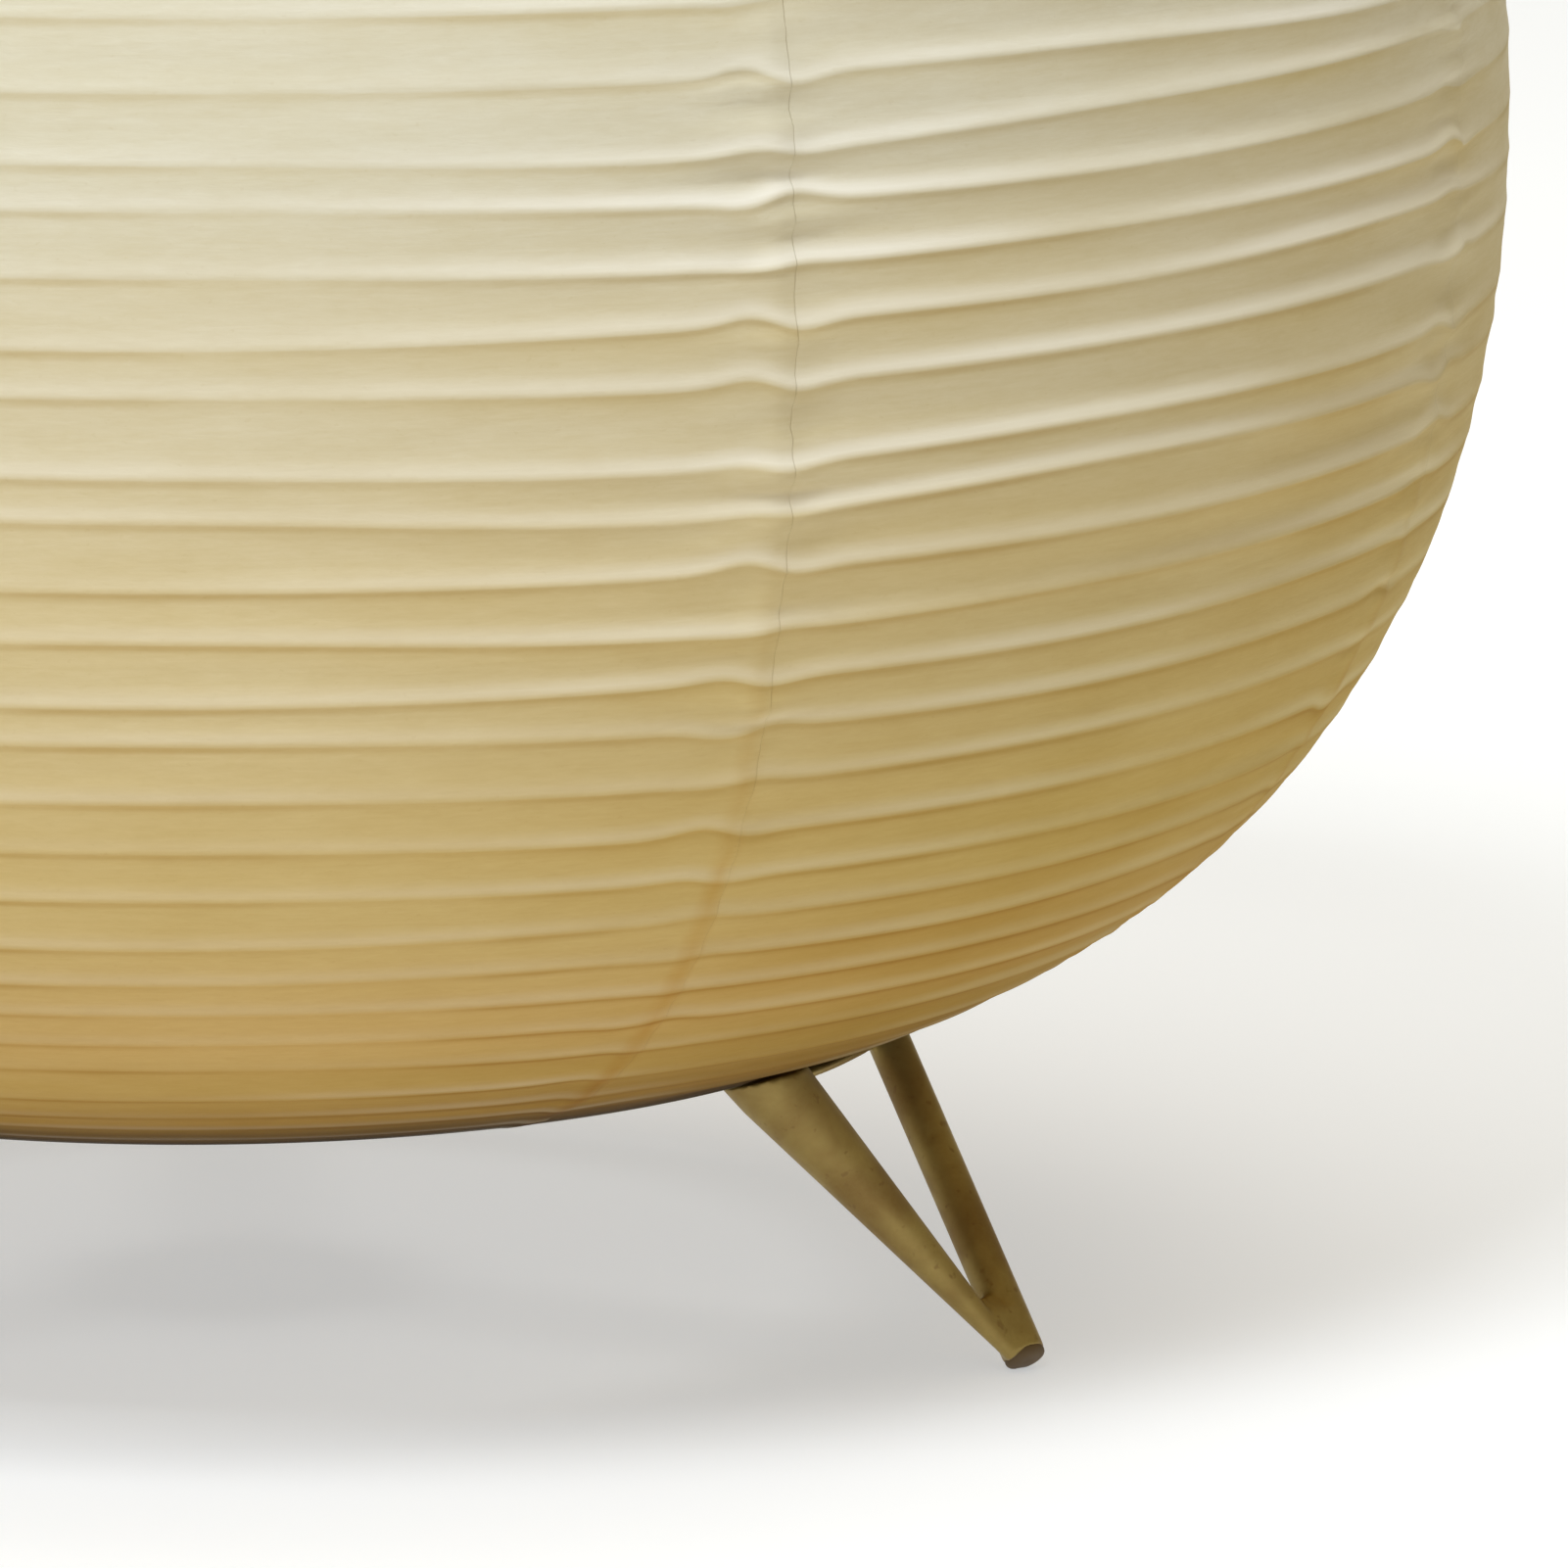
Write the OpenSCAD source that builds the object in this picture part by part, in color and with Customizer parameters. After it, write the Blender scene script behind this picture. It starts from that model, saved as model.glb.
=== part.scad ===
// Paper lantern floor lamp: a ribbed paper shade on three V-shaped rod legs.
// Millimetres. +Z up, the floor is z = 0, and the origin is on the axis of the lamp.
// The front of the lamp looks along -Y. Legs stand at 60 degrees to either side of the front and at the back.

/* [Paper shade] */
// Radius of the paper at its widest ring
shade_r = 249.1; // [230:0.1:270]
// Height of the widest ring above the floor
shade_mid_z = 235; // [232:1:238]
// Half height of the full curve that the sides belong to
curve_h = 190; // [185:1:195]
// Exponent of the curve up and down
curve_n = 2.2; // [2.1:0.05:2.4]
// Exponent of the curve outwards
curve_m = 3.07; // [2.8:0.01:3.3]
// Height of the lower paper rim above the floor
rim_z = 57.2; // [57:0.1:58]
// Thickness of the paper skin
paper_t = 0.6; // [0.5:0.1:0.8]
// Direction of the first seam, anticlockwise from +X
seam_a = -66; // [-90:1:0]
// Number of paper bands between ribs from rim to rim
bands = 41; // [30:1:45]
// Height of the bamboo strip that makes the rib
rib_h = 1.8; // [1.2:0.1:2]
// Depth of the bamboo strip
rib_d = 1.2; // [0.8:0.1:1.4]

/* [Hoops and spider] */
// Radius of the wire in the upper and lower hoops
hoop_w = 1.5; // [1.2:0.1:1.5]
// Radius of the wire in the upper spider
spider_w = 1.4; // [1.2:0.1:1.4]
// Number of spider arms
spider_arms = 3; // [3:1:6]

/* [Legs] */
// Distance of the arm tops from the lamp's axis
arm_top_r = 134; // [133:0.1:135]
// Angle of each arm top to either side of the leg's middle
arm_top_a = 10.2; // [9.5:0.1:10.5]
// Height at which the arm centre lines are given
arm_top_z = 56.5; // [56:0.1:57]
// Distance of the foot from the lamp's axis
foot_r = 172; // [168:0.5:176]
// Height of the centre of the foot end
foot_z = 2.9; // [2.8:0.1:3.1]
// Distance of each arm's centre line from the leg's middle at the foot
foot_y = 1.7; // [1.5:0.1:1.9]
// Radius of the straight round arm
rod_r = 4.15; // [4:0.05:4.3]
// Radius of the tapered arm at its top
taper_top_r = 7.4; // [7:0.1:7.5]
// Radius of the tapered arm at the foot
taper_foot_r = 1.2; // [1:0.1:1.5]

/* [Base plate] */
// Thickness of the base plate
plate_t = 3; // [2.5:0.5:3]
// Outer radius of the base plate's ring
plate_ro = 126.5; // [125:0.5:126.5]
// Inner radius of the base plate's ring
plate_ri = 110; // [108:1:112]
// Radius of the hub disc in the middle
hub_r = 38; // [34:1:38]
// Width of each spoke
spoke_w = 16; // [12:1:18]

/* [Stem and lampholder] */
// Outer radius of the stem tube
stem_r = 7; // [6.5:0.5:8]
// Height of the lampholder's lower end above the base plate
holder_up = 94.2; // [80:0.1:95]
// Outer radius of the lampholder
holder_r = 20; // [20:0.1:20.4]
// Radius inside the screw shell
shell_r = 13.6; // [13.5:0.1:13.8]
// Pitch of the lamp thread
thread_p = 3.62; // [3.5:0.01:3.7]

/* [Harp] */
// Radius of the harp wire
harp_w = 1.6; // [1.4:0.1:1.8]
// Half width of the harp
harp_x = 60; // [56:1:62]

/* [Light bulb] */
// Radius of the bulb's globe
globe_r = 30; // [28:1:31]

/* [Cable gland] */
// Radius of the hole for the cable
cable_r = 3.3; // [3:0.1:3.5]

/* [Hidden] */
$fn = 96;

brass = [0.52, 0.42, 0.20];
steel = [0.62, 0.61, 0.58];
paper = [0.86, 0.78, 0.60];
leg_a = [-30, 90, 210];          // direction of each leg, anticlockwise from +X
plate_z = rim_z - 0.4;           // underside of the base plate and top of the legs
holder_z = plate_z + holder_up;  // lower end of the lampholder
bulb_z = holder_z + 31;          // the bulb's lowest contact
tab_t = 1.7;                     // thickness of the plate welded between a leg's arms
rim_top_z = 2 * shade_mid_z - rim_z;
gores = 8;                       // paper gores round the shade

// ---- the shade's curve ----
function sr(z) = shade_r * pow(1 - pow(abs(z - shade_mid_z) / curve_h, curve_n), 1 / curve_m);
steps = 240;
zs = [for (i = [0:steps]) rim_z + (rim_top_z - rim_z) * i / steps];
lens = [for (i = 0, s = 0; i <= steps;
    s = s + (i < steps ? norm([sr(zs[i + 1]) - sr(zs[i]), zs[i + 1] - zs[i]]) : 0), i = i + 1) s];
along = [for (i = [0:steps]) [lens[i], zs[i]]];
function rib_z(k) = lookup(lens[steps] * k / bands, along);
// unit normal of the curve, pointing out
function sn(z) = let (e = 0.5, a = max(rim_z, z - e), b = min(rim_top_z, z + e),
    d = [sr(b) - sr(a), b - a], l = norm(d)) [d[1] / l, -d[0] / l];
// a point on the curve, moved inwards by t along the normal
function sp(k, t) = let (z = rib_z(k), n = sn(z)) [sr(z) - t * n[0], z - t * n[1]];

hoop_in = paper_t + 0.3 + hoop_w;      // hoop centre, inwards from the paper's outer face
hoop_p = sp(0, hoop_in);
hoop_top_p = sp(bands, hoop_in);
harp_top = hoop_top_p[1] - 6.5;        // middle of the harp's top wire

// ---- legs ----
screw_r = 119;      // distance of the leg screws from the lamp's axis
screw_a = 3.6;      // angle of each leg screw to either side of the leg's middle
arm_top = [arm_top_r * cos(arm_top_a), arm_top_r * sin(arm_top_a), arm_top_z];
arm_foot = [foot_r, foot_y, foot_z];
arm_dir = arm_foot - arm_top;
arm_len = norm(arm_dir);

// places children so that +Z runs along d, from p
module along_dir(p, d) {
    translate(p) rotate([0, acos(d[2] / norm(d)), atan2(d[1], d[0])]) children();
}

module leg() {
    intersection() {
        union() {
            // straight round arm, running on past its top so that the flat cut is clean
            along_dir(arm_top - arm_dir * 0.12, arm_dir) cylinder(r = rod_r, h = arm_len * 1.12);
            // tapered arm
            mirror([0, 1, 0]) along_dir(arm_top - arm_dir * 0.12, arm_dir) rotate([0, 0, 90])
                cylinder(r1 = taper_top_r + (taper_top_r - taper_foot_r) * 0.12, r2 = taper_foot_r, h = arm_len * 1.12 - 1.5);
            // plate that joins the arm tops and takes the screws
            translate([0, 0, plate_z - tab_t]) rotate([0, 0, -arm_top_a - 1]) rotate_extrude(angle = 2 * arm_top_a + 2)
                translate([114, 0]) square([132.6 - 114, tab_t]);
        }
        translate([60, -60, -20]) cube([160, 120, plate_z + 20]);
    }
}

module leg_at(i) {
    color(brass) rotate([0, 0, leg_a[i]]) difference() {
        leg();
        for (s = [-1, 1]) translate([screw_r * cos(screw_a), s * screw_r * sin(screw_a), plate_z - tab_t - 1])
            cylinder(r = 2.15, h = tab_t + 2);
    }
}

module leg_1() leg_at(0);
module leg_2() leg_at(1);
module leg_3() leg_at(2);

// tip on the end of the foot, with a rounded edge and cut flat by the floor
module foot_pad(i) {
    color([0.12, 0.10, 0.08]) rotate([0, 0, leg_a[i]]) intersection() {
        along_dir(arm_foot, arm_dir) rotate_extrude()
            polygon([[0, 0.02], [3.75, 0.02], [3.75, 0.9], [3.55, 1.35], [3.1, 1.6], [0, 1.7]]);
        translate([foot_r - 15, -15, 0]) cube([30, 30, 12]);
    }
}
module foot_pad_1() foot_pad(0);
module foot_pad_2() foot_pad(1);
module foot_pad_3() foot_pad(2);

// ---- base ----
module base_plate() {
    color(steel) translate([0, 0, plate_z]) difference() {
        union() {
            difference() {
                cylinder(r = plate_ro, h = plate_t);
                translate([0, 0, -1]) cylinder(r = plate_ri, h = plate_t + 2);
            }
            cylinder(r = hub_r, h = plate_t);
            for (a = leg_a) rotate([0, 0, a]) translate([hub_r - 5, -spoke_w / 2, 0])
                cube([plate_ri - hub_r + 8, spoke_w, plate_t]);
        }
        translate([0, 0, -1]) cylinder(r = 5.15, h = plate_t + 2);
        for (a = leg_a, s = [-1, 1]) rotate([0, 0, a + s * screw_a]) translate([screw_r, 0, -1])
            cylinder(r = 2.15, h = plate_t + 2);
    }
}

// pan head screws, pushed up from below through leg and plate
module leg_screws() {
    color(brass) for (a = leg_a, s = [-1, 1]) rotate([0, 0, a + s * screw_a]) translate([screw_r, 0, 0]) {
        difference() {
            union() {
                translate([0, 0, plate_z - tab_t - 2.4]) cylinder(r = 3.6, h = 2.3);
                translate([0, 0, plate_z - tab_t - 1]) cylinder(r = 2, h = tab_t + 1 + plate_t + 4);
            }
            translate([-0.5, -4, plate_z - tab_t - 3]) cube([1, 8, 1.6]);
        }
    }
}

module leg_nuts() {
    color(steel) for (a = leg_a, s = [-1, 1]) rotate([0, 0, a + s * screw_a])
        translate([screw_r, 0, plate_z + plate_t + 0.05]) difference() {
            cylinder(r = 4.04, h = 3.2, $fn = 6);
            translate([0, 0, -1]) cylinder(r = 2.05, h = 6);
        }
}

// ---- cable gland and stem ----
module gland_cap() {
    color([0.15, 0.14, 0.13]) translate([0, 0, plate_z - 24.8]) difference() {
        union() {
            translate([0, 0, 2]) cylinder(r = 9, h = 8);
            rotate_extrude() polygon([[0, 0], [6.2, 0], [9, 2], [9, 2.1], [0, 2.1]]);
            for (i = [0:11]) rotate([0, 0, i * 30]) translate([8.6, 0, 2.5]) cylinder(r = 0.9, h = 7, $fn = 24);
        }
        translate([0, 0, -1]) cylinder(r = cable_r, h = 12);
        translate([0, 0, 4]) cylinder(r = 7.05, h = 7);
    }
}

module gland_body() {
    color([0.15, 0.14, 0.13]) difference() {
        union() {
            translate([0, 0, plate_z - 20.6]) cylinder(r = 7, h = 8);
            translate([0, 0, plate_z - 14.5]) cylinder(r = 10.4, h = 9, $fn = 6);
        }
        translate([0, 0, plate_z - 26]) cylinder(r = cable_r + 1.2, h = 14);
        translate([0, 0, plate_z - 13.8]) cylinder(r = 5.05, h = 10);
    }
}

module stem_nut() {
    color(steel) translate([0, 0, plate_z - 5.2]) difference() {
        cylinder(r = 9.2, h = 5, $fn = 6);
        translate([0, 0, -1]) cylinder(r = 5.05, h = 7);
    }
}

module stem_rod() {
    color(steel) translate([0, 0, plate_z - 13.7]) difference() {
        cylinder(r = 5, h = holder_up + 22.8);
        translate([0, 0, -1]) cylinder(r = 3.5, h = holder_up + 26);
    }
}

module stem_washer() {
    color(brass) translate([0, 0, plate_z + plate_t + 0.05]) difference() {
        cylinder(r = 11, h = 1.5);
        translate([0, 0, -1]) cylinder(r = 5.3, h = 4);
    }
}

module stem_tube() {
    z0 = plate_z + plate_t + 1.6;
    color(brass) translate([0, 0, z0]) difference() {
        cylinder(r = stem_r, h = holder_z - 0.05 - z0);
        translate([0, 0, -1]) cylinder(r = 5.4, h = 100);
    }
}

// ---- lampholder ----
module holder_cap() {
    color([0.90, 0.89, 0.86]) translate([0, 0, holder_z]) rotate_extrude()
        polygon([[5.05, 0], [9, 0], [13, 2.2], [17, 5.6], [19.2, 9.6], [holder_r, 13.5], [holder_r, 21],
            [holder_r - 2, 21], [holder_r - 2, 13.8], [17.3, 10.4], [15.4, 7.2], [12, 4.4], [9.4, 3],
            [8, 3], [8, 8], [5.05, 8]]);
}

module holder_skirt() {
    color([0.90, 0.89, 0.86]) translate([0, 0, holder_z + 21.1]) rotate_extrude()
        polygon([[17.8, 0], [holder_r, 0], [26, 2.9], [26, 4.9], [holder_r - 0.3, 4.9],
            [holder_r - 0.3, 36.4], [holder_r - 1, 37.1], [17.8, 37.1]]);
}

module holder_insert() {
    color([0.95, 0.94, 0.92]) difference() {
        translate([0, 0, holder_z + 13.2]) cylinder(r = 17.6, h = 44);
        translate([0, 0, holder_z + 28.7]) cylinder(r = shell_r + 0.65, h = 40);
        translate([0, 0, holder_z + 10]) cylinder(r = 2.1, h = 20);
        for (s = [-1, 1]) translate([s * 9.5, 0, holder_z + 10]) cylinder(r = 1.6, h = 12);
        // recess for the leads
        translate([0, 0, holder_z + 13]) cylinder(r = 5.2, h = 4);
    }
}

module screw_shell() {
    color([0.80, 0.70, 0.42]) translate([0, 0, holder_z + 28.8]) difference() {
        cylinder(r = shell_r + 0.6, h = 26);
        translate([0, 0, 0.6]) cylinder(r = shell_r, h = 30);
        translate([0, 0, -1]) cylinder(r = 7, h = 3);
    }
}

// sprung tongue that meets the bulb's tip, and the rivet that holds it
module centre_contact() {
    color([0.80, 0.70, 0.42]) {
        translate([0, 0, holder_z + 28.8]) difference() {
            union() {
                cylinder(r = 5.5, h = 0.6);
                translate([0, 0, -9]) cylinder(r = 2, h = 9.3);
                translate([-5.2, -2, 0.3]) rotate([0, -9, 0]) cube([10, 4, 0.5]);
            }
            translate([0, 0, -10]) cylinder(r = 0.8, h = 8);
        }
    }
}

module terminal_screws() {
    color(steel) for (s = [-1, 1]) translate([s * 9.5, 0, 0]) difference() {
        union() {
            translate([0, 0, holder_z + 10.8]) cylinder(r = 2.9, h = 2.3);
            translate([0, 0, holder_z + 12]) cylinder(r = 1.5, h = 9);
        }
        translate([-4, -0.4, holder_z + 10]) cube([8, 0.8, 1.7]);
    }
}

// threaded ring that clamps the harp on the lampholder's flange
module shade_ring() {
    color([0.90, 0.89, 0.86]) translate([0, 0, holder_z + 27.65]) difference() {
        union() {
            cylinder(r = 24.4, h = 8);
            for (i = [0:23]) rotate([0, 0, i * 15]) translate([24.2, 0, 0.8]) cylinder(r = 0.8, h = 6.4, $fn = 24);
        }
        translate([0, 0, -1]) cylinder(r = holder_r - 0.25, h = 10);
    }
}

// ---- harp ----
module wire(p, q, r) along_dir(p, q - p) cylinder(r = r, h = norm(q - p));

module harp() {
    ring_z = holder_z + 26.05;
    low = ring_z + 1.3 + harp_w;      // height of the wire ends on the ring
    bend = 27;
    color(brass) {
        translate([0, 0, ring_z]) difference() {
            cylinder(r = 31, h = 1.5);
            translate([0, 0, -1]) cylinder(r = holder_r - 0.2, h = 4);
        }
        for (s = [0, 180]) rotate([0, 0, s]) {
            wire([26.6, 0, low], [harp_x - bend, 0, low], harp_w);
            translate([harp_x - bend, 0, low + bend]) rotate([90, 0, 0]) rotate([0, 0, -90])
                rotate_extrude(angle = 90) translate([bend, 0]) circle(r = harp_w);
            wire([harp_x, 0, low + bend], [harp_x, 0, harp_top - harp_x], harp_w);
        }
        translate([0, 0, harp_top - harp_x]) rotate([90, 0, 0])
            rotate_extrude(angle = 180) translate([harp_x, 0]) circle(r = harp_w);
    }
}

// collar and round pin on top of the harp, over which the spider's eye drops
module harp_pin() {
    color(brass) difference() {
        union() {
            translate([0, 0, harp_top - 2.6]) cylinder(r = 4.4, h = hoop_top_p[1] - spider_w - 0.3 - harp_top + 2.6);
            translate([0, 0, harp_top]) cylinder(r = 3, h = 8);
            translate([0, 0, harp_top + 8]) sphere(r = 3);
        }
        // slot that straddles the harp wire
        translate([0, 0, harp_top]) rotate([90, 0, 0])
            translate([0, -harp_x, 0]) rotate_extrude() translate([harp_x, 0]) circle(r = harp_w + 0.03);
    }
}

// ---- bulb ----
module bulb_contact() {
    color([0.75, 0.74, 0.72]) translate([0, 0, bulb_z]) rotate_extrude()
        polygon([[0, 0], [2.4, 0], [4, 0.5], [4.6, 1.2], [4.6, 1.8], [0, 1.8]]);
}

module bulb_insulator() {
    color([0.10, 0.09, 0.10]) translate([0, 0, bulb_z + 1.9]) rotate_extrude()
        polygon([[0, 0], [5, 0], [10.2, 3.2], [10.2, 4.2], [0, 4.2]]);
}

module bulb_cap() {
    turns = 5;
    n = 6;
    wave = [for (i = [0:turns * n]) [12.6 + 0.5 * cos(i * 360 / n), 7.5 + i * thread_p / n]];
    color([0.78, 0.78, 0.76]) translate([0, 0, bulb_z]) rotate_extrude() polygon(concat(
        [[11.4, 6.2], [11.8, 6.2], [12.2, 6.8]], wave, [[13.1, 27.4], [12.4, 27.4], [11.4, 26]]));
}

module bulb_housing() {
    color([0.93, 0.93, 0.91]) translate([0, 0, bulb_z]) rotate_extrude()
        polygon([[12.6, 27.5], [14, 27.5], [15.2, 30], [17, 36], [20.2, 46], [24.2, 57], [27.2, 65], [28.8, 71.5],
            [27.2, 71.5], [25.4, 65], [22.2, 57], [18.2, 46], [15, 36], [12.6, 31]]);
}

module led_board() {
    color([0.85, 0.86, 0.86]) translate([0, 0, bulb_z + 71.7]) {
        cylinder(r = 26.6, h = 1.6);
        for (i = [0:9]) rotate([0, 0, i * 36]) translate([17, -1.7, 1.5]) cube([3.4, 3.4, 0.8]);
    }
}

// frosted dome over the board
module bulb_globe() {
    c = 80;        // height of the dome's centre above the contact
    color([0.97, 0.95, 0.88]) translate([0, 0, bulb_z + c]) difference() {
        sphere(r = globe_r);
        sphere(r = globe_r - 1.4);
        translate([0, 0, -50 - (c - 71.6)]) cube([100, 100, 100], center = true);
    }
}

// ---- shade ----
module gore(i) {
    outer = [for (k = [0:bands]) sp(k, 0)];
    inner = [for (k = [bands:-1:0]) sp(k, paper_t)];
    color(paper) rotate([0, 0, seam_a + (i - 1) * 360 / gores]) rotate_extrude(angle = 360 / gores, $fn = 96)
        polygon(concat(outer, inner));
}
module gore_1() gore(1);
module gore_2() gore(2);
module gore_3() gore(3);
module gore_4() gore(4);
module gore_5() gore(5);
module gore_6() gore(6);
module gore_7() gore(7);
module gore_8() gore(8);

// the rib strip inside the paper, one ring for each turn
module shade_ribs() {
    color([0.70, 0.55, 0.32]) for (k = [1:bands - 1]) {
        p = sp(k, paper_t + norm([rib_h, rib_d]) / 2 + 0.1);
        translate([0, 0, p[1]]) rotate_extrude() translate([p[0] - rib_d / 2, -rib_h / 2]) square([rib_d, rib_h]);
    }
}

module hoop(p) {
    color(steel) translate([0, 0, p[1]]) rotate_extrude() translate([p[0], 0]) circle(r = hoop_w, $fn = 32);
}
module top_hoop() hoop(hoop_top_p);
module bottom_hoop() hoop(hoop_p);

// wire spider: an eye over the harp's pin, and arms that hook under the upper hoop
module top_spider() {
    z = hoop_top_p[1];
    hook = hoop_w + spider_w + 0.1;
    color(brass) {
        translate([0, 0, z]) rotate_extrude() translate([5, 0]) circle(r = spider_w, $fn = 32);
        for (i = [0:spider_arms - 1]) rotate([0, 0, leg_a[0] + i * 360 / spider_arms]) {
            wire([5, 0, z], [hoop_top_p[0] - hook, 0, z], spider_w);
            translate([hoop_top_p[0] - hook, 0, z]) sphere(r = spider_w);
            translate([hoop_top_p[0], 0, z]) rotate([90, 0, 0]) rotate([0, 0, 180])
                rotate_extrude(angle = 150) translate([hook, 0]) circle(r = spider_w);
        }
    }
}

leg_1();
leg_2();
leg_3();
foot_pad_1();
foot_pad_2();
foot_pad_3();
base_plate();
leg_screws();
leg_nuts();
gland_cap();
gland_body();
stem_nut();
stem_rod();
stem_washer();
stem_tube();
holder_cap();
holder_skirt();
holder_insert();
screw_shell();
centre_contact();
terminal_screws();
shade_ring();
harp();
harp_pin();
bulb_contact();
bulb_insulator();
bulb_cap();
bulb_housing();
led_board();
bulb_globe();
gore_1();
gore_2();
gore_3();
gore_4();
gore_5();
gore_6();
gore_7();
gore_8();
shade_ribs();
top_hoop();
top_spider();
bottom_hoop();
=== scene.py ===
import math

import bmesh
import bpy
import numpy as np
from mathutils import Matrix, Vector


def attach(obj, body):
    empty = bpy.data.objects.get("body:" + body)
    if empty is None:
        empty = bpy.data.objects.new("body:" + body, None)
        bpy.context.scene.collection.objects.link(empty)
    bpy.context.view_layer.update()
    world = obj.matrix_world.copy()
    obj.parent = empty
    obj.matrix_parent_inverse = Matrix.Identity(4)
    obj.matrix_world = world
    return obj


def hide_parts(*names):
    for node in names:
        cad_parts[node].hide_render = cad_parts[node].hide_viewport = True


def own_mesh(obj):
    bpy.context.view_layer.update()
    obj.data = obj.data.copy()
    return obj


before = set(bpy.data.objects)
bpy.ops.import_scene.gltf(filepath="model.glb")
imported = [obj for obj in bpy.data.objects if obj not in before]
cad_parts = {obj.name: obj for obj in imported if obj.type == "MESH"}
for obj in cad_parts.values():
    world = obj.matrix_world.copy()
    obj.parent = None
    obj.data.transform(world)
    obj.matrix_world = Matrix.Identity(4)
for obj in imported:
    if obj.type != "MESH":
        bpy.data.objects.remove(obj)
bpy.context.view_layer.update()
MM = 0.001
LIFT, FOLD = "shade_lift", "shade_fold"

# ------------------------------------------------------------------ camera
# The photograph is a close crop, taken with a long lens from 2.5 m away, looking 11 degrees down.
REF_Z = 0.2415
cam_data = bpy.data.cameras.new("camera")
cam = bpy.data.objects.new("camera", cam_data)
bpy.context.scene.collection.objects.link(cam)
bpy.context.scene.camera = cam
yaw, pitch, roll = 0.0433, 0.2000, -0.0069
cam_data.sensor_width = 36.0
cam_data.lens = 13319.73 / 1601 * 36.0
cam_data.clip_start, cam_data.clip_end = 0.05, 60
cam.location = (0, -2.5, 1.4538 * 0.25 + REF_Z)
fwd = Vector((math.sin(yaw) * math.cos(pitch), math.cos(yaw) * math.cos(pitch), -math.sin(pitch)))
right = Vector((math.cos(yaw), -math.sin(yaw), 0))
up = Vector((math.sin(yaw) * math.sin(pitch), math.cos(yaw) * math.sin(pitch), math.cos(pitch)))
r2 = math.cos(roll) * right + math.sin(roll) * up
u2 = math.cos(roll) * up - math.sin(roll) * right
cam.matrix_world = Matrix((
    (r2.x, u2.x, -fwd.x, cam.location.x),
    (r2.y, u2.y, -fwd.y, cam.location.y),
    (r2.z, u2.z, -fwd.z, cam.location.z),
    (0, 0, 0, 1),
))


# ------------------------------------------------------------------ materials
def new_mat(name):
    m = bpy.data.materials.new(name)
    m.use_nodes = True
    nt = m.node_tree
    nt.nodes.clear()
    out = nt.nodes.new("ShaderNodeOutputMaterial")
    bsdf = nt.nodes.new("ShaderNodeBsdfPrincipled")
    nt.links.new(bsdf.outputs[0], out.inputs[0])
    return m, nt, bsdf


class N:
    """Small helper that adds nodes to a tree."""

    def __init__(self, nt):
        self.nt = nt

    def node(self, kind, **props):
        n = self.nt.nodes.new(kind)
        for k, v in props.items():
            setattr(n, k, v)
        return n

    def put(self, socket, value):
        if isinstance(value, bpy.types.NodeSocket):
            self.nt.links.new(value, socket)
        elif isinstance(value, (tuple, list)) and len(value) == 3 and socket.type == "RGBA":
            socket.default_value = (*value, 1)
        else:
            socket.default_value = value

    def math(self, op, a, b=0.0, c=None, clamp=False):
        n = self.node("ShaderNodeMath", operation=op, use_clamp=clamp)
        self.put(n.inputs[0], a)
        self.put(n.inputs[1], b)
        if c is not None:
            self.put(n.inputs[2], c)
        return n.outputs[0]

    def mix(self, fac, a, b, how="MIX"):
        n = self.node("ShaderNodeMix", data_type="RGBA", blend_type=how)
        self.put(n.inputs[0], fac)
        self.put(n.inputs[6], a)
        self.put(n.inputs[7], b)
        return n.outputs[2]

    def ramp(self, fac, stops, interp="LINEAR"):
        n = self.node("ShaderNodeValToRGB")
        cr = n.color_ramp
        cr.interpolation = interp
        while len(cr.elements) < len(stops):
            cr.elements.new(0.5)
        for e, (p, c) in zip(cr.elements, stops):
            e.position = p
            e.color = (*c, 1) if len(c) == 3 else c
        self.put(n.inputs[0], fac)
        return n.outputs[0]

    def range(self, v, a, b, c=0.0, d=1.0, smooth=False):
        n = self.node("ShaderNodeMapRange", interpolation_type="SMOOTHSTEP" if smooth else "LINEAR")
        for i, x in enumerate((v, a, b, c, d)):
            self.put(n.inputs[i], x)
        return n.outputs[0]

    def noise(self, vec, scale, detail=2.0, rough=0.5, distort=0.0):
        n = self.node("ShaderNodeTexNoise")
        self.put(n.inputs["Vector"], vec)
        n.inputs["Scale"].default_value = scale
        n.inputs["Detail"].default_value = detail
        n.inputs["Roughness"].default_value = rough
        n.inputs["Distortion"].default_value = distort
        return n.outputs[0]

    def mapping(self, vec, scale=(1, 1, 1), rot=(0, 0, 0), loc=(0, 0, 0)):
        n = self.node("ShaderNodeMapping")
        self.put(n.inputs[0], vec)
        n.inputs[1].default_value = loc
        n.inputs[2].default_value = rot
        n.inputs[3].default_value = scale
        return n.outputs[0]

    def attr(self, name):
        return self.node("ShaderNodeAttribute", attribute_name=name)

    def coord(self, which="Object"):
        return self.node("ShaderNodeTexCoord").outputs[which]

    def bump(self, height, strength, distance):
        n = self.node("ShaderNodeBump")
        n.inputs["Strength"].default_value = strength
        n.inputs["Distance"].default_value = distance
        self.put(n.inputs["Height"], height)
        return n.outputs[0]


def lin(r, g, b):
    """sRGB 0-255 to linear."""
    return tuple((c / 255 / 12.92) if c / 255 <= 0.04045 else ((c / 255 + 0.055) / 1.055) ** 2.4 for c in (r, g, b))


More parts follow.
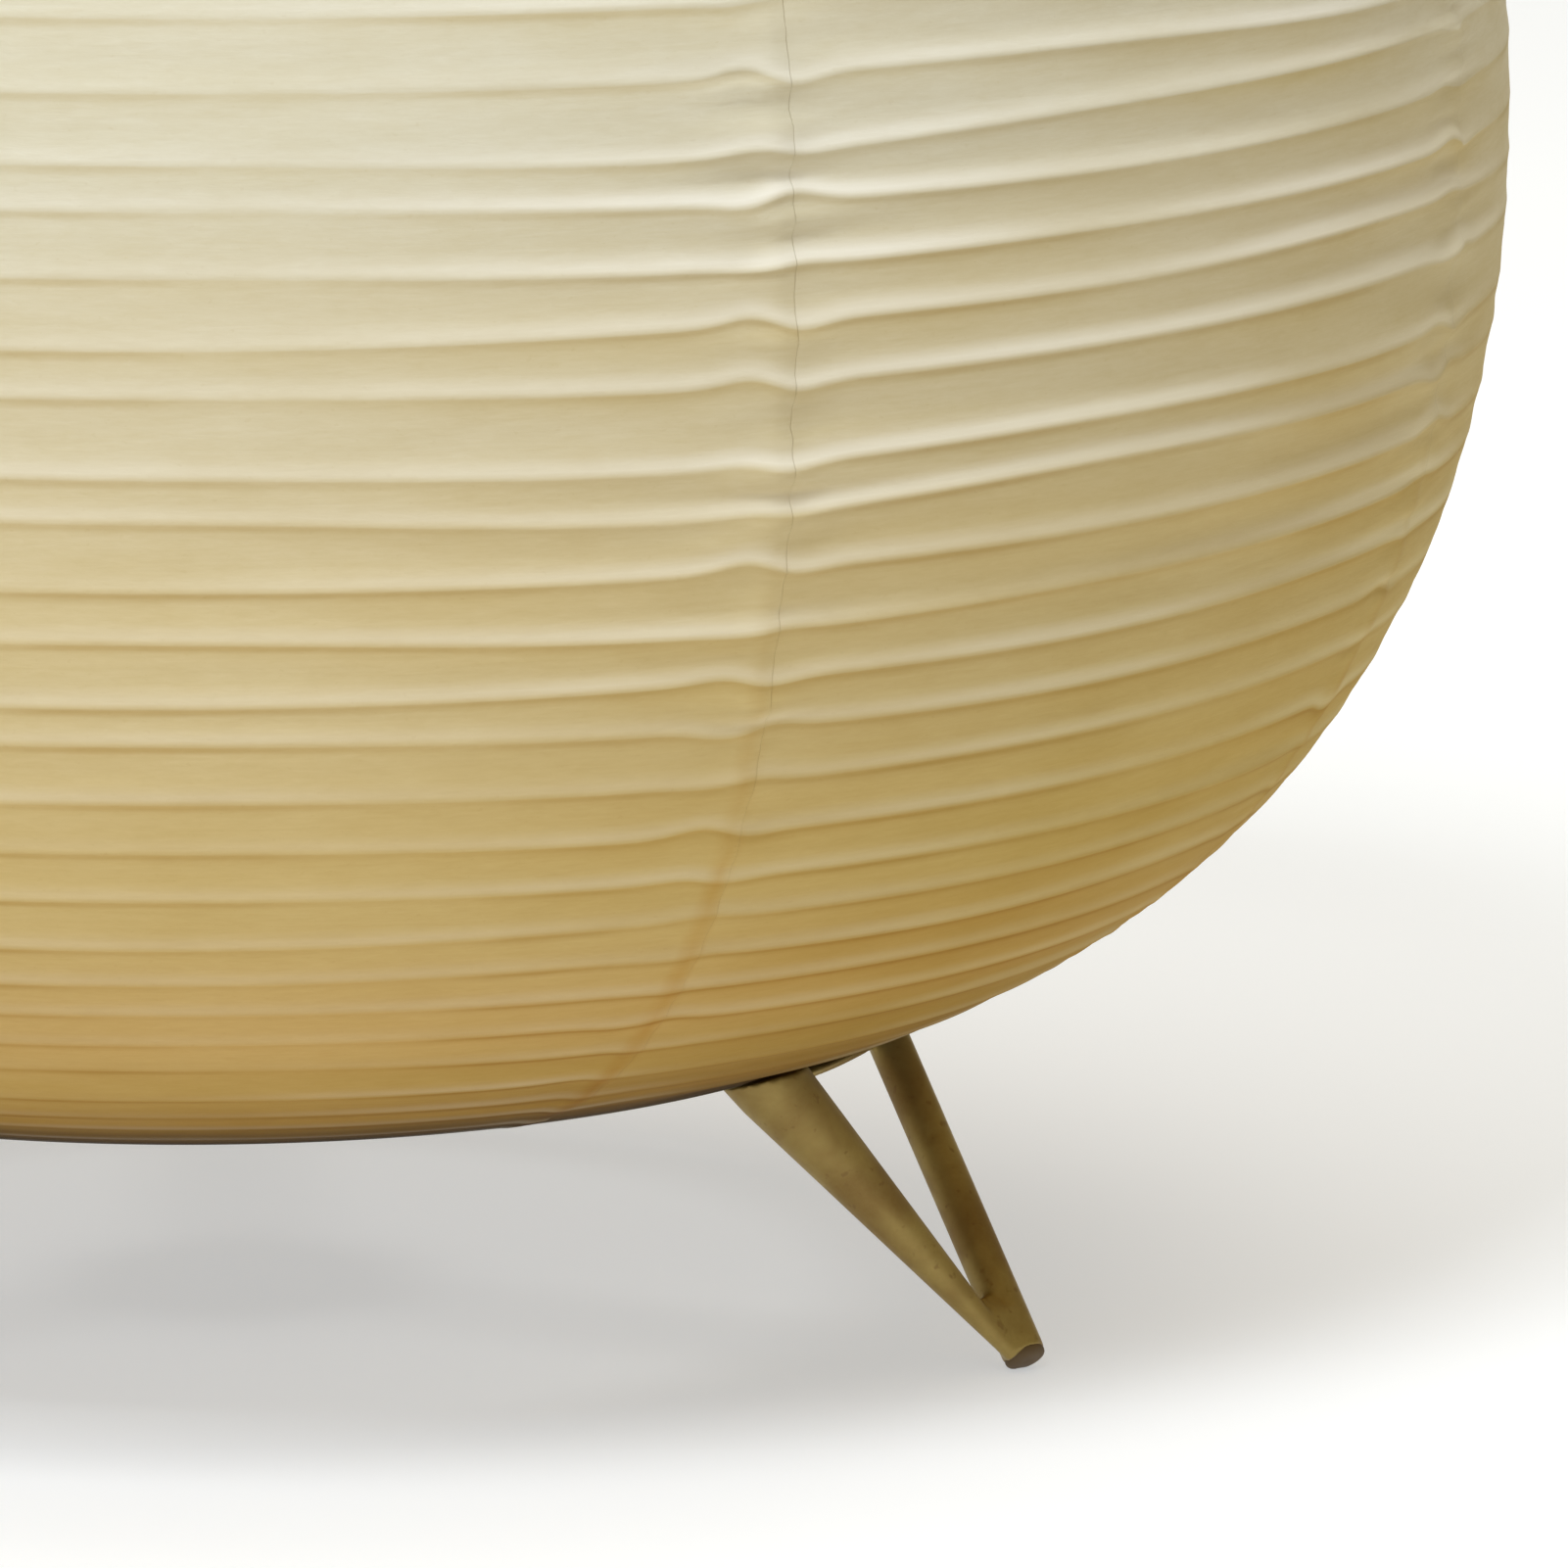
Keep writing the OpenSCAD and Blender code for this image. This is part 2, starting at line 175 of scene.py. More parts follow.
# Paper colour from the lower rim (0) to the upper rim (1), with painted shade: darker and browner towards the bottom,
# darkest at the lower rim.
PAPER_TONE_AND_SHADE_STOPS = [
    (0.00, lin(44, 30, 8)),
    (0.03, lin(92, 68, 22)),
    (0.065, lin(146, 115, 55)),
    (0.11, lin(171, 142, 80)),
    (0.15, lin(184, 155, 98)),
    (0.25, lin(191, 169, 116)),
    (0.36, lin(194, 178, 138)),
    (0.47, lin(194, 184, 157)),
    (0.56, lin(195, 189, 169)),
    (0.80, lin(197, 190, 169)),
    (1.00, lin(186, 174, 144)),
]


def paper_material():
    m, nt, b = new_mat("washi")
    n = N(nt)
    s = n.attr("arc").outputs["Fac"]
    rib = n.attr("rib").outputs["Fac"]
    lap = n.attr("lap").outputs["Fac"]
    painted_ridge_highlight = n.attr("painted_ridge_highlight").outputs["Fac"]
    under = n.attr("under").outputs["Fac"]
    uv = n.node("ShaderNodeUVMap", uv_map="sheet").outputs[0]
    # long fibres lie mostly along the ribs, with a few at a slant
    fibre_a = n.noise(n.mapping(uv, (90, 900, 1)), 1.0, 4.0, 0.62, 0.4)
    fibre_b = n.noise(n.mapping(uv, (240, 900, 1), (0, 0, 0.6)), 1.0, 3.0, 0.6, 0.8)
    strands = n.math("ADD", n.math("MULTIPLY", fibre_a, 0.6), n.math("MULTIPLY", fibre_b, 0.4))
    cloud = n.noise(n.mapping(uv, (26, 80, 1)), 1.0, 4.0, 0.6)
    fleck = n.range(n.noise(n.mapping(uv, (520, 760, 1)), 1.0, 2.0, 0.5), 0.66, 0.74, 0.0, 1.0, True)
    # paper tone along the arc, with painted shade towards the lower rim
    col = n.ramp(s, PAPER_TONE_AND_SHADE_STOPS, "EASE")
    col = n.mix(n.range(cloud, 0.36, 0.66, 0.0, 0.42), col, (0.90, 0.86, 0.74), "MULTIPLY")
    col = n.mix(n.range(strands, 0.35, 0.66, 0.0, 0.46), col, (0.88, 0.84, 0.74), "MULTIPLY")
    col = n.mix(n.math("MULTIPLY", fleck, 0.10), col, (0.70, 0.58, 0.38), "MULTIPLY")
    # painted highlight: the paper is made palest just above each ridge, more so higher up; painted shade makes it
    # darker and more yellow in the fold under each ridge
    col = n.mix(n.math("MULTIPLY", painted_ridge_highlight, n.range(s, 0.15, 0.5, 0.3, 0.95)), col, n.mix(0.62, col, lin(232, 229, 222)))
    col = n.mix(n.math("MULTIPLY", under, 0.9), col, (0.89, 0.80, 0.56), "MULTIPLY")
    # painted shade on one side and low down, darker and yellower
    col = n.mix(n.attr("painted_side_shade").outputs["Fac"], col, (0.74, 0.69, 0.45), "MULTIPLY")
    # a darker, warmer line just below each ridge, stronger low down: partly the strip under the paper showing through,
    # partly painted shadow under the ridge
    low = n.range(s, 0.10, 0.52, 1.0, 0.55)
    col = n.mix(n.math("MULTIPLY", rib, n.math("MULTIPLY", low, 0.85), clamp=True), col, (0.80, 0.69, 0.48), "MULTIPLY")
    # two layers of paper and glue where the gores lap
    lap_k = n.math("MULTIPLY", n.range(s, 0.16, 0.40, 1.0, 0.03), n.range(n.noise(n.mapping(uv, (120, 60, 1)), 1.0, 2.0), 0.3, 0.65, 0.35, 1.0))
    col = n.mix(n.math("MULTIPLY", lap, lap_k, clamp=True), col, (0.90, 0.76, 0.50), "MULTIPLY")
    n.put(b.inputs["Base Color"], col)
    n.put(b.inputs["Roughness"], n.range(cloud, 0.2, 0.8, 0.80, 0.94))
    b.inputs["Specular IOR Level"].default_value = 0.12
    hgt = n.math("ADD", n.math("MULTIPLY", strands, 0.75), n.math("MULTIPLY", cloud, 0.25))
    n.put(b.inputs["Normal"], n.bump(hgt, 0.32, 0.00035))
    # light from the bulb comes through the paper, less at strips, laps and hems
    through = n.math("MULTIPLY", n.range(rib, 0, 1, 1.0, 0.6), n.range(lap, 0, 1, 1.0, 0.9))
    glow = n.mix(0.5, col, (1.0, 0.62, 0.24), "MULTIPLY")
    n.put(b.inputs["Emission Color"], glow)
    n.put(b.inputs["Emission Strength"], n.math("MULTIPLY", through, 0.10))
    return m


def metal(name, base, dark, rough=(0.34, 0.50), scale=60.0, stretch=(1, 1, 1), metallic=1.0, brush=0.10, speck=None):
    m, nt, b = new_mat(name)
    n = N(nt)
    p = n.coord()
    big = n.noise(p, scale, 4.0, 0.6, 0.3)
    fine = n.noise(n.mapping(p, stretch), scale * 30, 2.0, 0.5)
    col = n.mix(n.range(big, 0.35, 0.7, 0, 1, True), base, dark)
    col = n.mix(n.range(fine, 0.3, 0.8, 0.0, 0.35), col, tuple(x * 0.75 for x in base))
    if speck:
        k = n.range(n.noise(p, scale * 6, 2.0, 0.6), 0.62, 0.72, 0, 0.6, True)
        col = n.mix(k, col, speck)
    n.put(b.inputs["Base Color"], col)
    b.inputs["Metallic"].default_value = metallic
    n.put(b.inputs["Roughness"], n.range(big, 0.3, 0.75, rough[0], rough[1]))
    n.put(b.inputs["Normal"], n.bump(fine, brush, 0.0001))
    return m


def plastic(name, base, rough=0.35, coat=0.0, tint=None, bump=0.06, scale=400.0):
    m, nt, b = new_mat(name)
    n = N(nt)
    p = n.coord()
    v = n.noise(p, scale, 3.0, 0.55)
    w = n.noise(p, scale * 0.06, 2.0, 0.5)
    col = n.mix(n.range(w, 0.3, 0.7, 0, 0.5), base, tint or tuple(x * 0.9 for x in base))
    n.put(b.inputs["Base Color"], col)
    n.put(b.inputs["Roughness"], n.range(v, 0.3, 0.7, rough * 0.88, rough * 1.15))
    n.put(b.inputs["Normal"], n.bump(v, bump, 0.0001))
    b.inputs["Coat Weight"].default_value = coat
    return m


def bamboo():
    m, nt, b = new_mat("bamboo")
    n = N(nt)
    uv = n.node("ShaderNodeUVMap", uv_map="sheet").outputs[0]
    grain = n.noise(n.mapping(uv, (40, 2600, 1)), 1.0, 4.0, 0.6)
    knot = n.range(n.noise(n.mapping(uv, (9, 1, 1)), 1.0, 1.0), 0.62, 0.70, 0, 0.6, True)
    col = n.ramp(grain, [(0.3, lin(150, 112, 62)), (0.55, lin(186, 150, 92)), (0.75, lin(208, 176, 118))])
    col = n.mix(knot, col, lin(122, 84, 44))
    n.put(b.inputs["Base Color"], col)
    n.put(b.inputs["Roughness"], n.range(grain, 0.3, 0.7, 0.55, 0.75))
    n.put(b.inputs["Normal"], n.bump(grain, 0.3, 0.0002))
    return m


def glowing(name, base, light, strength):
    m, nt, b = new_mat(name)
    n = N(nt)
    p = n.coord()
    v = n.noise(p, 900, 2.0, 0.5)
    n.put(b.inputs["Base Color"], n.mix(n.range(v, 0.3, 0.7, 0, 0.3), base, tuple(x * 0.95 for x in base)))
    n.put(b.inputs["Roughness"], n.range(v, 0.3, 0.7, 0.38, 0.5))
    n.put(b.inputs["Normal"], n.bump(v, 0.05, 0.0001))
    # the dome is brightest over the board and dims towards its edge
    z = n.node("ShaderNodeSeparateXYZ")
    n.put(z.inputs[0], p)
    n.put(b.inputs["Emission Color"], n.mix(n.range(z.outputs[2], 0.254, 0.285, 0, 1, True), tuple(x * 0.72 for x in light), light))
    b.inputs["Emission Strength"].default_value = strength
    return m


MAT = {
    "washi_paper": paper_material(),
    "bamboo": bamboo(),
    "aged_brass": metal("aged_brass", lin(166, 143, 80), lin(136, 108, 54), (0.44, 0.56), 60, (1, 1, 1), 0.52, 0.05, lin(124, 94, 48)),
    "brass_small": metal("brass_small", lin(196, 164, 96), lin(158, 126, 66), (0.25, 0.4), 90),
    "contact_brass": metal("contact_brass", lin(222, 192, 122), lin(190, 156, 90), (0.2, 0.34), 120),
    "zinc_steel": metal("zinc_steel", lin(190, 190, 186), lin(160, 160, 156), (0.28, 0.42), 120),
    "solder": metal("solder", lin(178, 178, 176), lin(140, 140, 138), (0.4, 0.55), 500),
    "nickel": metal("nickel", lin(206, 203, 196), lin(178, 174, 166), (0.16, 0.28), 200),
    "steel_plate": metal("steel_plate", lin(118, 98, 58), lin(92, 72, 40), (0.40, 0.55), 60, (1, 1, 1), 0.55, 0.12),
    "hoop_wire": plastic("hoop_wire", lin(214, 204, 178), 0.42, 0.1, lin(196, 182, 150)),
    "foot_tip": plastic("foot_tip", lin(98, 76, 40), 0.62, 0.0, lin(76, 56, 30), 0.2),
    "black_plastic": plastic("black_plastic", lin(44, 43, 42), 0.5, 0.0, lin(34, 33, 32), 0.15),
    "holder_white": plastic("holder_white", lin(236, 233, 224), 0.28, 0.15, lin(226, 221, 208)),
    "porcelain": plastic("porcelain", lin(240, 237, 230), 0.14, 0.6, lin(230, 226, 216), 0.02),
    "bulb_white": plastic("bulb_white", lin(238, 238, 234), 0.32, 0.1, lin(228, 228, 222)),
    "led_aluminium": plastic("led_aluminium", lin(232, 232, 228), 0.35, 0.0, lin(214, 214, 210)),
    "bulb_opal": glowing("bulb_opal", lin(228, 214, 184), (1.0, 0.76, 0.42), 0.32),
}


# ------------------------------------------------------------------ mesh helpers
def link(name, me, slot, body, replaces=(), smooth=True):
    ob = bpy.data.objects.new(name, me)
    bpy.context.scene.collection.objects.link(ob)
    me.materials.append(MAT[slot])
    if smooth:
        me.polygons.foreach_set("use_smooth", [True] * len(me.polygons))
    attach(ob, body)
    if replaces:
        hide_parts(*replaces)
    return ob


def weighted(ob):
    w = ob.modifiers.new("weighted", "WEIGHTED_NORMAL")
    w.keep_sharp = True
    return ob


def from_arrays(name, verts, faces):
    me = bpy.data.meshes.new(name)
    me.from_pydata([tuple(v) for v in verts], [], [tuple(f) for f in faces])
    me.validate()
    me.update()
    return me


def grid_mesh(name, verts, quads):
    """A mesh from numpy arrays of vertices and quads."""
    me = bpy.data.meshes.new(name)
    me.vertices.add(len(verts))
    me.vertices.foreach_set("co", np.asarray(verts, np.float32).ravel())
    q = np.asarray(quads, np.int32)
    me.loops.add(q.size)
    me.loops.foreach_set("vertex_index", q.ravel())
    me.polygons.add(len(q))
    me.polygons.foreach_set("loop_start", np.arange(0, q.size, 4, dtype=np.int32))
    me.update(calc_edges=True)
    return me


def rounded(points, radii, closed=True, steps=4):
    """Points of a polygon in the (r, z) plane with its corners rounded. radii is one number or one for each corner."""
    pts = [Vector(p) for p in points]
    k = len(pts)
    if not isinstance(radii, (list, tuple)):
        radii = [radii] * k
    out = []
    for i, p in enumerate(pts):
        if (not closed and i in (0, k - 1)) or radii[i] <= 0:
            out.append(tuple(p))
            continue
        a, b = pts[i - 1], pts[(i + 1) % k]
        da, db = (a - p), (b - p)
        la, lb = da.length, db.length
        da, db = da / la, db / lb
        cosang = max(-1, min(1, da.dot(db)))
        ang = math.acos(cosang)
        if ang > math.radians(172) or ang < 1e-3:
            out.append(tuple(p))
            continue
        cut = min(radii[i] / math.tan(ang / 2), la * 0.45, lb * 0.45)
        p1, p2 = p + da * cut, p + db * cut
        for j in range(steps + 1):
            t = j / steps
            q = (1 - t) ** 2 * p1 + 2 * t * (1 - t) * p + t * t * p2
            out.append(tuple(q))
    return out


def lathe(name, profile, slot, body, replaces=(), seg=96, closed=True, z0=0.0, wave=None, centre=(0, 0)):
    """Turns a profile of (r, z) in mm about the vertical axis. wave(angle, r, z) may shift the radius."""
    rings, verts, faces = [], [], []
    for r, z in profile:
        if r < 1e-6:
            rings.append([len(verts)])
            verts.append((centre[0] * MM, centre[1] * MM, (z + z0) * MM))
            continue
        row = []
        for i in range(seg):
            a = 2 * math.pi * i / seg
            rr = r + (wave(a, r, z) if wave else 0)
            row.append(len(verts))
            verts.append(((centre[0] + rr * math.cos(a)) * MM, (centre[1] + rr * math.sin(a)) * MM, (z + z0) * MM))
        rings.append(row)
    pairs = list(zip(rings, rings[1:])) + ([(rings[-1], rings[0])] if closed else [])
    for lo, hi in pairs:
        if len(lo) == 1 and len(hi) == 1:
            continue
        for i in range(seg):
            j = (i + 1) % seg
            if len(lo) == 1:
                faces.append((lo[0], hi[j], hi[i]))
            elif len(hi) == 1:
                faces.append((lo[i], lo[j], hi[0]))
            else:
                faces.append((lo[i], lo[j], hi[j], hi[i]))
    me = from_arrays(name, verts, faces)
    fix_normals(me)
    return link(name, me, slot, body, replaces)


def fix_normals(me):
    bm = bmesh.new()
    bm.from_mesh(me)
    bmesh.ops.recalc_face_normals(bm, faces=bm.faces)
    bm.to_mesh(me)
    bm.free()
    me.update()


def tube_arrays(path, radius, seg=20, closed=False, top_plane=None, shape=None):
    """Vertices and faces of a tube along a path of points in mm. radius is a number or one for each point."""
    P = np.asarray(path, float)
    k = len(P)
    R = np.full(k, float(radius)) if np.isscalar(radius) else np.asarray(radius, float)
    T = np.zeros_like(P)
    if closed:
        T = np.roll(P, -1, 0) - np.roll(P, 1, 0)
    else:
        T[1:-1] = P[2:] - P[:-2]
        T[0], T[-1] = P[1] - P[0], P[-1] - P[-2]
    T /= np.linalg.norm(T, axis=1)[:, None]
    ref = np.array([0, 0, 1.0]) if abs(T[0][2]) < 0.9 else np.array([1.0, 0, 0])
    n0 = np.cross(T[0], ref)
    n0 /= np.linalg.norm(n0)
    Ns = [n0]
    for i in range(1, k):
        v = Ns[-1] - T[i] * (Ns[-1] @ T[i])
        Ns.append(v / np.linalg.norm(v))
    Ns = np.array(Ns)
    if closed:  # undo the twist left over once round
        v = Ns[-1] - T[0] * (Ns[-1] @ T[0])
        twist = math.atan2(np.cross(v, Ns[0]) @ T[0], v @ Ns[0])
        for i in range(k):
            a = twist * i / k
            Ns[i] = Ns[i] * math.cos(a) + np.cross(T[i], Ns[i]) * math.sin(a)
    Bs = np.cross(T, Ns)
    ang = np.arange(seg) * 2 * math.pi / seg
    ring = np.cos(ang)[None, :, None] * Ns[:, None, :] + np.sin(ang)[None, :, None] * Bs[:, None, :]
    scale = R[:, None] * (np.ones((k, seg)) if shape is None else shape(np.linspace(0, 1, k)[:, None], ang[None, :]))
    V = P[:, None, :] + ring * scale[..., None]
    if top_plane is not None:  # slide the first ring along the tube onto a level plane
        d = T[0]
        V[0] += d[None, :] * ((top_plane - V[0][:, 2]) / d[2])[:, None]
    V = V.reshape(-1, 3)
    F = []
    for i in range(k if closed else k - 1):
        for j in range(seg):
            a, b = i * seg + j, i * seg + (j + 1) % seg
            c, d = ((i + 1) % k) * seg + (j + 1) % seg, ((i + 1) % k) * seg + j
            F.append((a, b, c, d))
    if not closed:
        F.append(tuple(reversed(range(seg))))
        F.append(tuple((k - 1) * seg + j for j in range(seg)))
    return V, F


def tube(name, path, radius, slot, body, replaces=(), seg=20, closed=False, **kw):
    V, F = tube_arrays(path, radius, seg, closed, **kw)
    me = from_arrays(name, V * MM, F)
    fix_normals(me)
    return link(name, me, slot, body, replaces)


def joined(name, parts, slot, body, replaces=()):
    """One piece from several (vertices in mm, faces)."""
    V, F, off = [], [], 0
    for v, f in parts:
        V.append(np.asarray(v, float))
        F += [tuple(i + off for i in face) for face in f]
        off += len(v)
    me = from_arrays(name, np.vstack(V) * MM, F)
    fix_normals(me)
    return link(name, me, slot, body, replaces)


def refine(node, slot, body, bevel=0.25, segments=2, name=None, angle=28):
    """A copy of a CAD node with its flat faces joined up and its edges softened, which stands for the node."""
    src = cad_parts[node]
    bm = bmesh.new()
    bm.from_mesh(src.data)
    bmesh.ops.remove_doubles(bm, verts=bm.verts, dist=1e-6)
    bmesh.ops.dissolve_limit(bm, angle_limit=math.radians(0.8), verts=bm.verts, edges=bm.edges)
    edges = [e for e in bm.edges if len(e.link_faces) == 2 and e.calc_face_angle(0) > math.radians(angle)]
    if bevel:
        bmesh.ops.bevel(bm, geom=edges, offset=bevel * MM, offset_type="OFFSET", segments=segments, profile=0.5,
                        affect="EDGES", clamp_overlap=True)
    bmesh.ops.recalc_face_normals(bm, faces=bm.faces)
    me = bpy.data.meshes.new(name or node + "_fine")
    bm.to_mesh(me)
    bm.free()
    ob = link(name or node + "_fine", me, slot, body, (node,))
    return weighted(ob)


def outline_plate(name, outline, z0, z1, slot, body, replaces=(), bevel=0.4):
    """A flat plate from an outline of (x, y) in mm, with softened edges."""
    bm = bmesh.new()
    lo = [bm.verts.new((x * MM, y * MM, z0 * MM)) for x, y in outline]
    f = bm.faces.new(lo)
    got = bmesh.ops.extrude_face_region(bm, geom=[f])
    for v in [g for g in got["geom"] if isinstance(g, bmesh.types.BMVert)]:
        v.co.z = z1 * MM
    bmesh.ops.recalc_face_normals(bm, faces=bm.faces)
    rim = [e for e in bm.edges if len(e.link_faces) == 2 and e.calc_face_angle(0) > math.radians(60)]
    bmesh.ops.bevel(bm, geom=rim, offset=bevel * MM, offset_type="OFFSET", segments=2, profile=0.5, affect="EDGES")
    me = bpy.data.meshes.new(name)
    bm.to_mesh(me)
    bm.free()
    return weighted(link(name, me, slot, body, replaces))


# ------------------------------------------------------------------ the shade's curve, in mm
SHADE_R, MID_Z, CURVE_H, CURVE_N, CURVE_M, RIM_Z = 249.1, 235.0, 190.0, 2.2, 3.07, 57.2
RIM_TOP = 2 * MID_Z - RIM_Z
zf = np.linspace(RIM_Z, RIM_TOP, 6001)
rf = SHADE_R * (1 - (np.abs(zf - MID_Z) / CURVE_H) ** CURVE_N) ** (1 / CURVE_M)
sf = np.concatenate([[0], np.cumsum(np.hypot(np.diff(rf), np.diff(zf)))])
LEN = float(sf[-1])
tr, tz = np.gradient(rf, sf), np.gradient(zf, sf)
tl = np.hypot(tr, tz)
tr, tz = tr / tl, tz / tl
PITCH = LEN / 41


def curve(s):
    """(r, z, normal r, normal z, tangent r, tangent z) at arc length s from the lower rim."""
    t_r, t_z = np.interp(s, sf, tr), np.interp(s, sf, tz)
    return np.interp(s, sf, rf), np.interp(s, sf, zf), t_z, -t_r, t_r, t_z


FRONT = -math.pi / 2
# the laps lie just short of the seams' own angle, so that their edge comes out on it
SEAM0 = math.radians(-66) - 4.0 / SHADE_R
GORE = math.pi / 4
rng = np.random.default_rng(41)

# ------------------------------------------------------------------ the rib's helix
# q counts turns. Seen from the front the rib runs down to the right. START is where turn 0 passes the front.
START = -0.5
# How far each turn's ridge lies above an even spacing, in hundredths of the spacing,
# at the front and at 20, 40 and 60 degrees to its right. The real ribs are a little uneven.
UNEVEN = {
    5: (32, 20, 20, 25), 6: (25, 22, 20, 25), 7: (19, 18, 20, 25), 8: (5, 14, 10, 28), 9: (-4, 7, 10, 20),
    10: (9, 2, 2, 5), 11: (12, 0, 3, 12), 12: (12, 3, 9, 20), 13: (22, 8, 6, 20), 14: (-9, -5, 0, 18),
    15: (3, -20, -2, 10), 16: (-9, -14, -10, 0), 17: (5, -22, 6, 6), 18: (-24, -40, -22, -18), 19: (7, -6, 0, 6),
    20: (-17, -10, -4, 8), 21: (-4, -20, -12, -11), 22: (0, -18, -20, -13), 23: (-29, -45, -18, -11), 24: (-16, -20, -19, -40),
    25: (0, -5, -15, -20),
}
KNOTS = 18
q_lo = -4
n_knot = (48 - q_lo) * KNOTS
# elsewhere the unevenness is random, and smooth over about 40 degrees
loose = rng.normal(0, 1, n_knot + 8)
knot = 1.35 * np.convolve(loose, [0.06, 0.12, 0.2, 0.24, 0.2, 0.12, 0.06, 0, 0], "valid")[:n_knot] * 2.0
for j, row in UNEVEN.items():
    i = (j - q_lo) * KNOTS
    for m, v in enumerate(row):
        knot[i - m] = v / 100 * PITCH
    knot[i + 1] = 0.85 * row[0] / 100 * PITCH
    knot[i + 2] = 0.5 * knot[i + 1] + 0.5 * knot[i + 3]
    knot[i - 4] = 0.6 * knot[i - 3] + 0.4 * knot[i - 5]


def spline(values, x):
    """Catmull-Rom through values at 0, 1, 2 ..."""
    i = np.clip(np.floor(x).astype(int), 1, len(values) - 3)
    t = x - i
    a, b, c, d = values[i - 1], values[i], values[i + 1], values[i + 2]
    return 0.5 * (2 * b + (c - a) * t + (2 * a - 5 * b + 4 * c - d) * t ** 2 + (3 * b - a - 3 * c + d) * t ** 3)


SEAM_Q = -(SEAM0 - FRONT) / (2 * math.pi)
kink_a = rng.normal(0, 0.85, 520)
kink_b = rng.normal(0, 1.15, 520)


def ridge(q):
    """Arc length of the rib's ridge at turn q."""
    q = np.asarray(q, float)
    s = START + PITCH * q + spline(knot, (q - q_lo) * KNOTS)
    # little steps where the ridge crosses a seam
    m = np.round((q - SEAM_Q) * 8)
    w = -(q - (SEAM_Q + m / 8)) * 2 * math.pi * np.interp(np.clip(s, 0, LEN), sf, rf)
    idx = (m + 60).astype(int) % 520
    s = s + kink_a[idx] * np.exp(-((w / 7) ** 2)) + kink_b[idx] * (w / 5) * np.exp(-((w / 8) ** 2))
    return s


# ------------------------------------------------------------------ smooth random fields over the whole sheet
NA, NS = 1536, 768


def field(len_a, len_s, seed):
    """Smooth noise of unit strength on an (angle, arc) grid, periodic round the shade, from correlation lengths in mm."""
    g = np.random.default_rng(seed).normal(size=(NA, NS))
    fa = np.fft.fftfreq(NA, 2 * math.pi * SHADE_R / NA)[:, None]
    fs = np.fft.rfftfreq(NS, LEN / NS)[None, :]
    F = np.fft.rfft2(g) * np.exp(-2 * (math.pi * fa * len_a) ** 2 - 2 * (math.pi * fs * len_s) ** 2)
    out = np.fft.irfft2(F, s=(NA, NS))
    return out / out.std()


def sample(f, a, s):
    x = (a / (2 * math.pi) % 1.0) * NA
    y = np.clip(s / LEN, 0, 0.99999) * (NS - 1)
    i, j = np.floor(x).astype(int), np.floor(y).astype(int)
    u, v = x - i, y - j
    i0, i1, j1 = i % NA, (i + 1) % NA, np.minimum(j + 1, NS - 1)
    return (f[i0, j] * (1 - u) + f[i1, j] * u) * (1 - v) + (f[i0, j1] * (1 - u) + f[i1, j1] * u) * v


F_PUCKER = field(8.0, 1.3, 1)
F_PUCKER2 = field(12.0, 2.3, 2)
F_CREASE = field(13.0, 1.0, 3)
F_WAVE = field(26.0, 7.0, 4)
F_DEPTH = field(30.0, 5.0, 5)
F_LEVEL = field(14.0, 16.0, 6)

PAPER_T = 0.25
HOOP_IN = 2.4


def near_seam(a, s):
    """Signed distance in mm along the ring to the nearest seam."""
    x = (a - SEAM0) / GORE
    return (x - np.round(x)) * GORE * np.interp(s, sf, rf)


GAIN_A = [-180, -150, -25, 0, 12, 22, 34, 48, 62, 72, 80, 94, 110, 150, 180]
GAIN_K = [1.1, 1.0, 0.42, 0.34, 0.62, 0.98, 1.16, 1.48, 1.72, 1.15, 0.50, 0.35, 0.8, 1.1, 1.1]

# the fold between two ridges: its slope at a few places, summed up and scaled to a depth of 1
slope_t = [0, 0.05, 0.13, 0.24, 0.34, 0.46, 0.60, 0.74, 0.85, 0.93, 1.0]
slope_k = [0.55, 1.35, 1.55, 1.20, 0.45, -0.15, -0.42, -0.62, -0.95, -1.45, -1.30]
FOLD_T = np.linspace(0, 1, 201)
slope = np.interp(FOLD_T, slope_t, slope_k)
slope = np.where(slope < 0, slope * (slope[slope > 0].sum() / -slope[slope < 0].sum()), slope)
FOLD_D = np.concatenate([[0], np.cumsum((slope[1:] + slope[:-1]) / 2)])
FOLD_D = np.clip(FOLD_D - FOLD_D[-1] * FOLD_T, 0, None)
FOLD_D = FOLD_D / FOLD_D.max()


def gain(a):
    """The folds are deeper on the side that was hung towards the warmth of the room."""
    side = np.degrees((a - FRONT + math.pi) % (2 * math.pi) - math.pi)
    return np.interp(side, GAIN_A, GAIN_K)


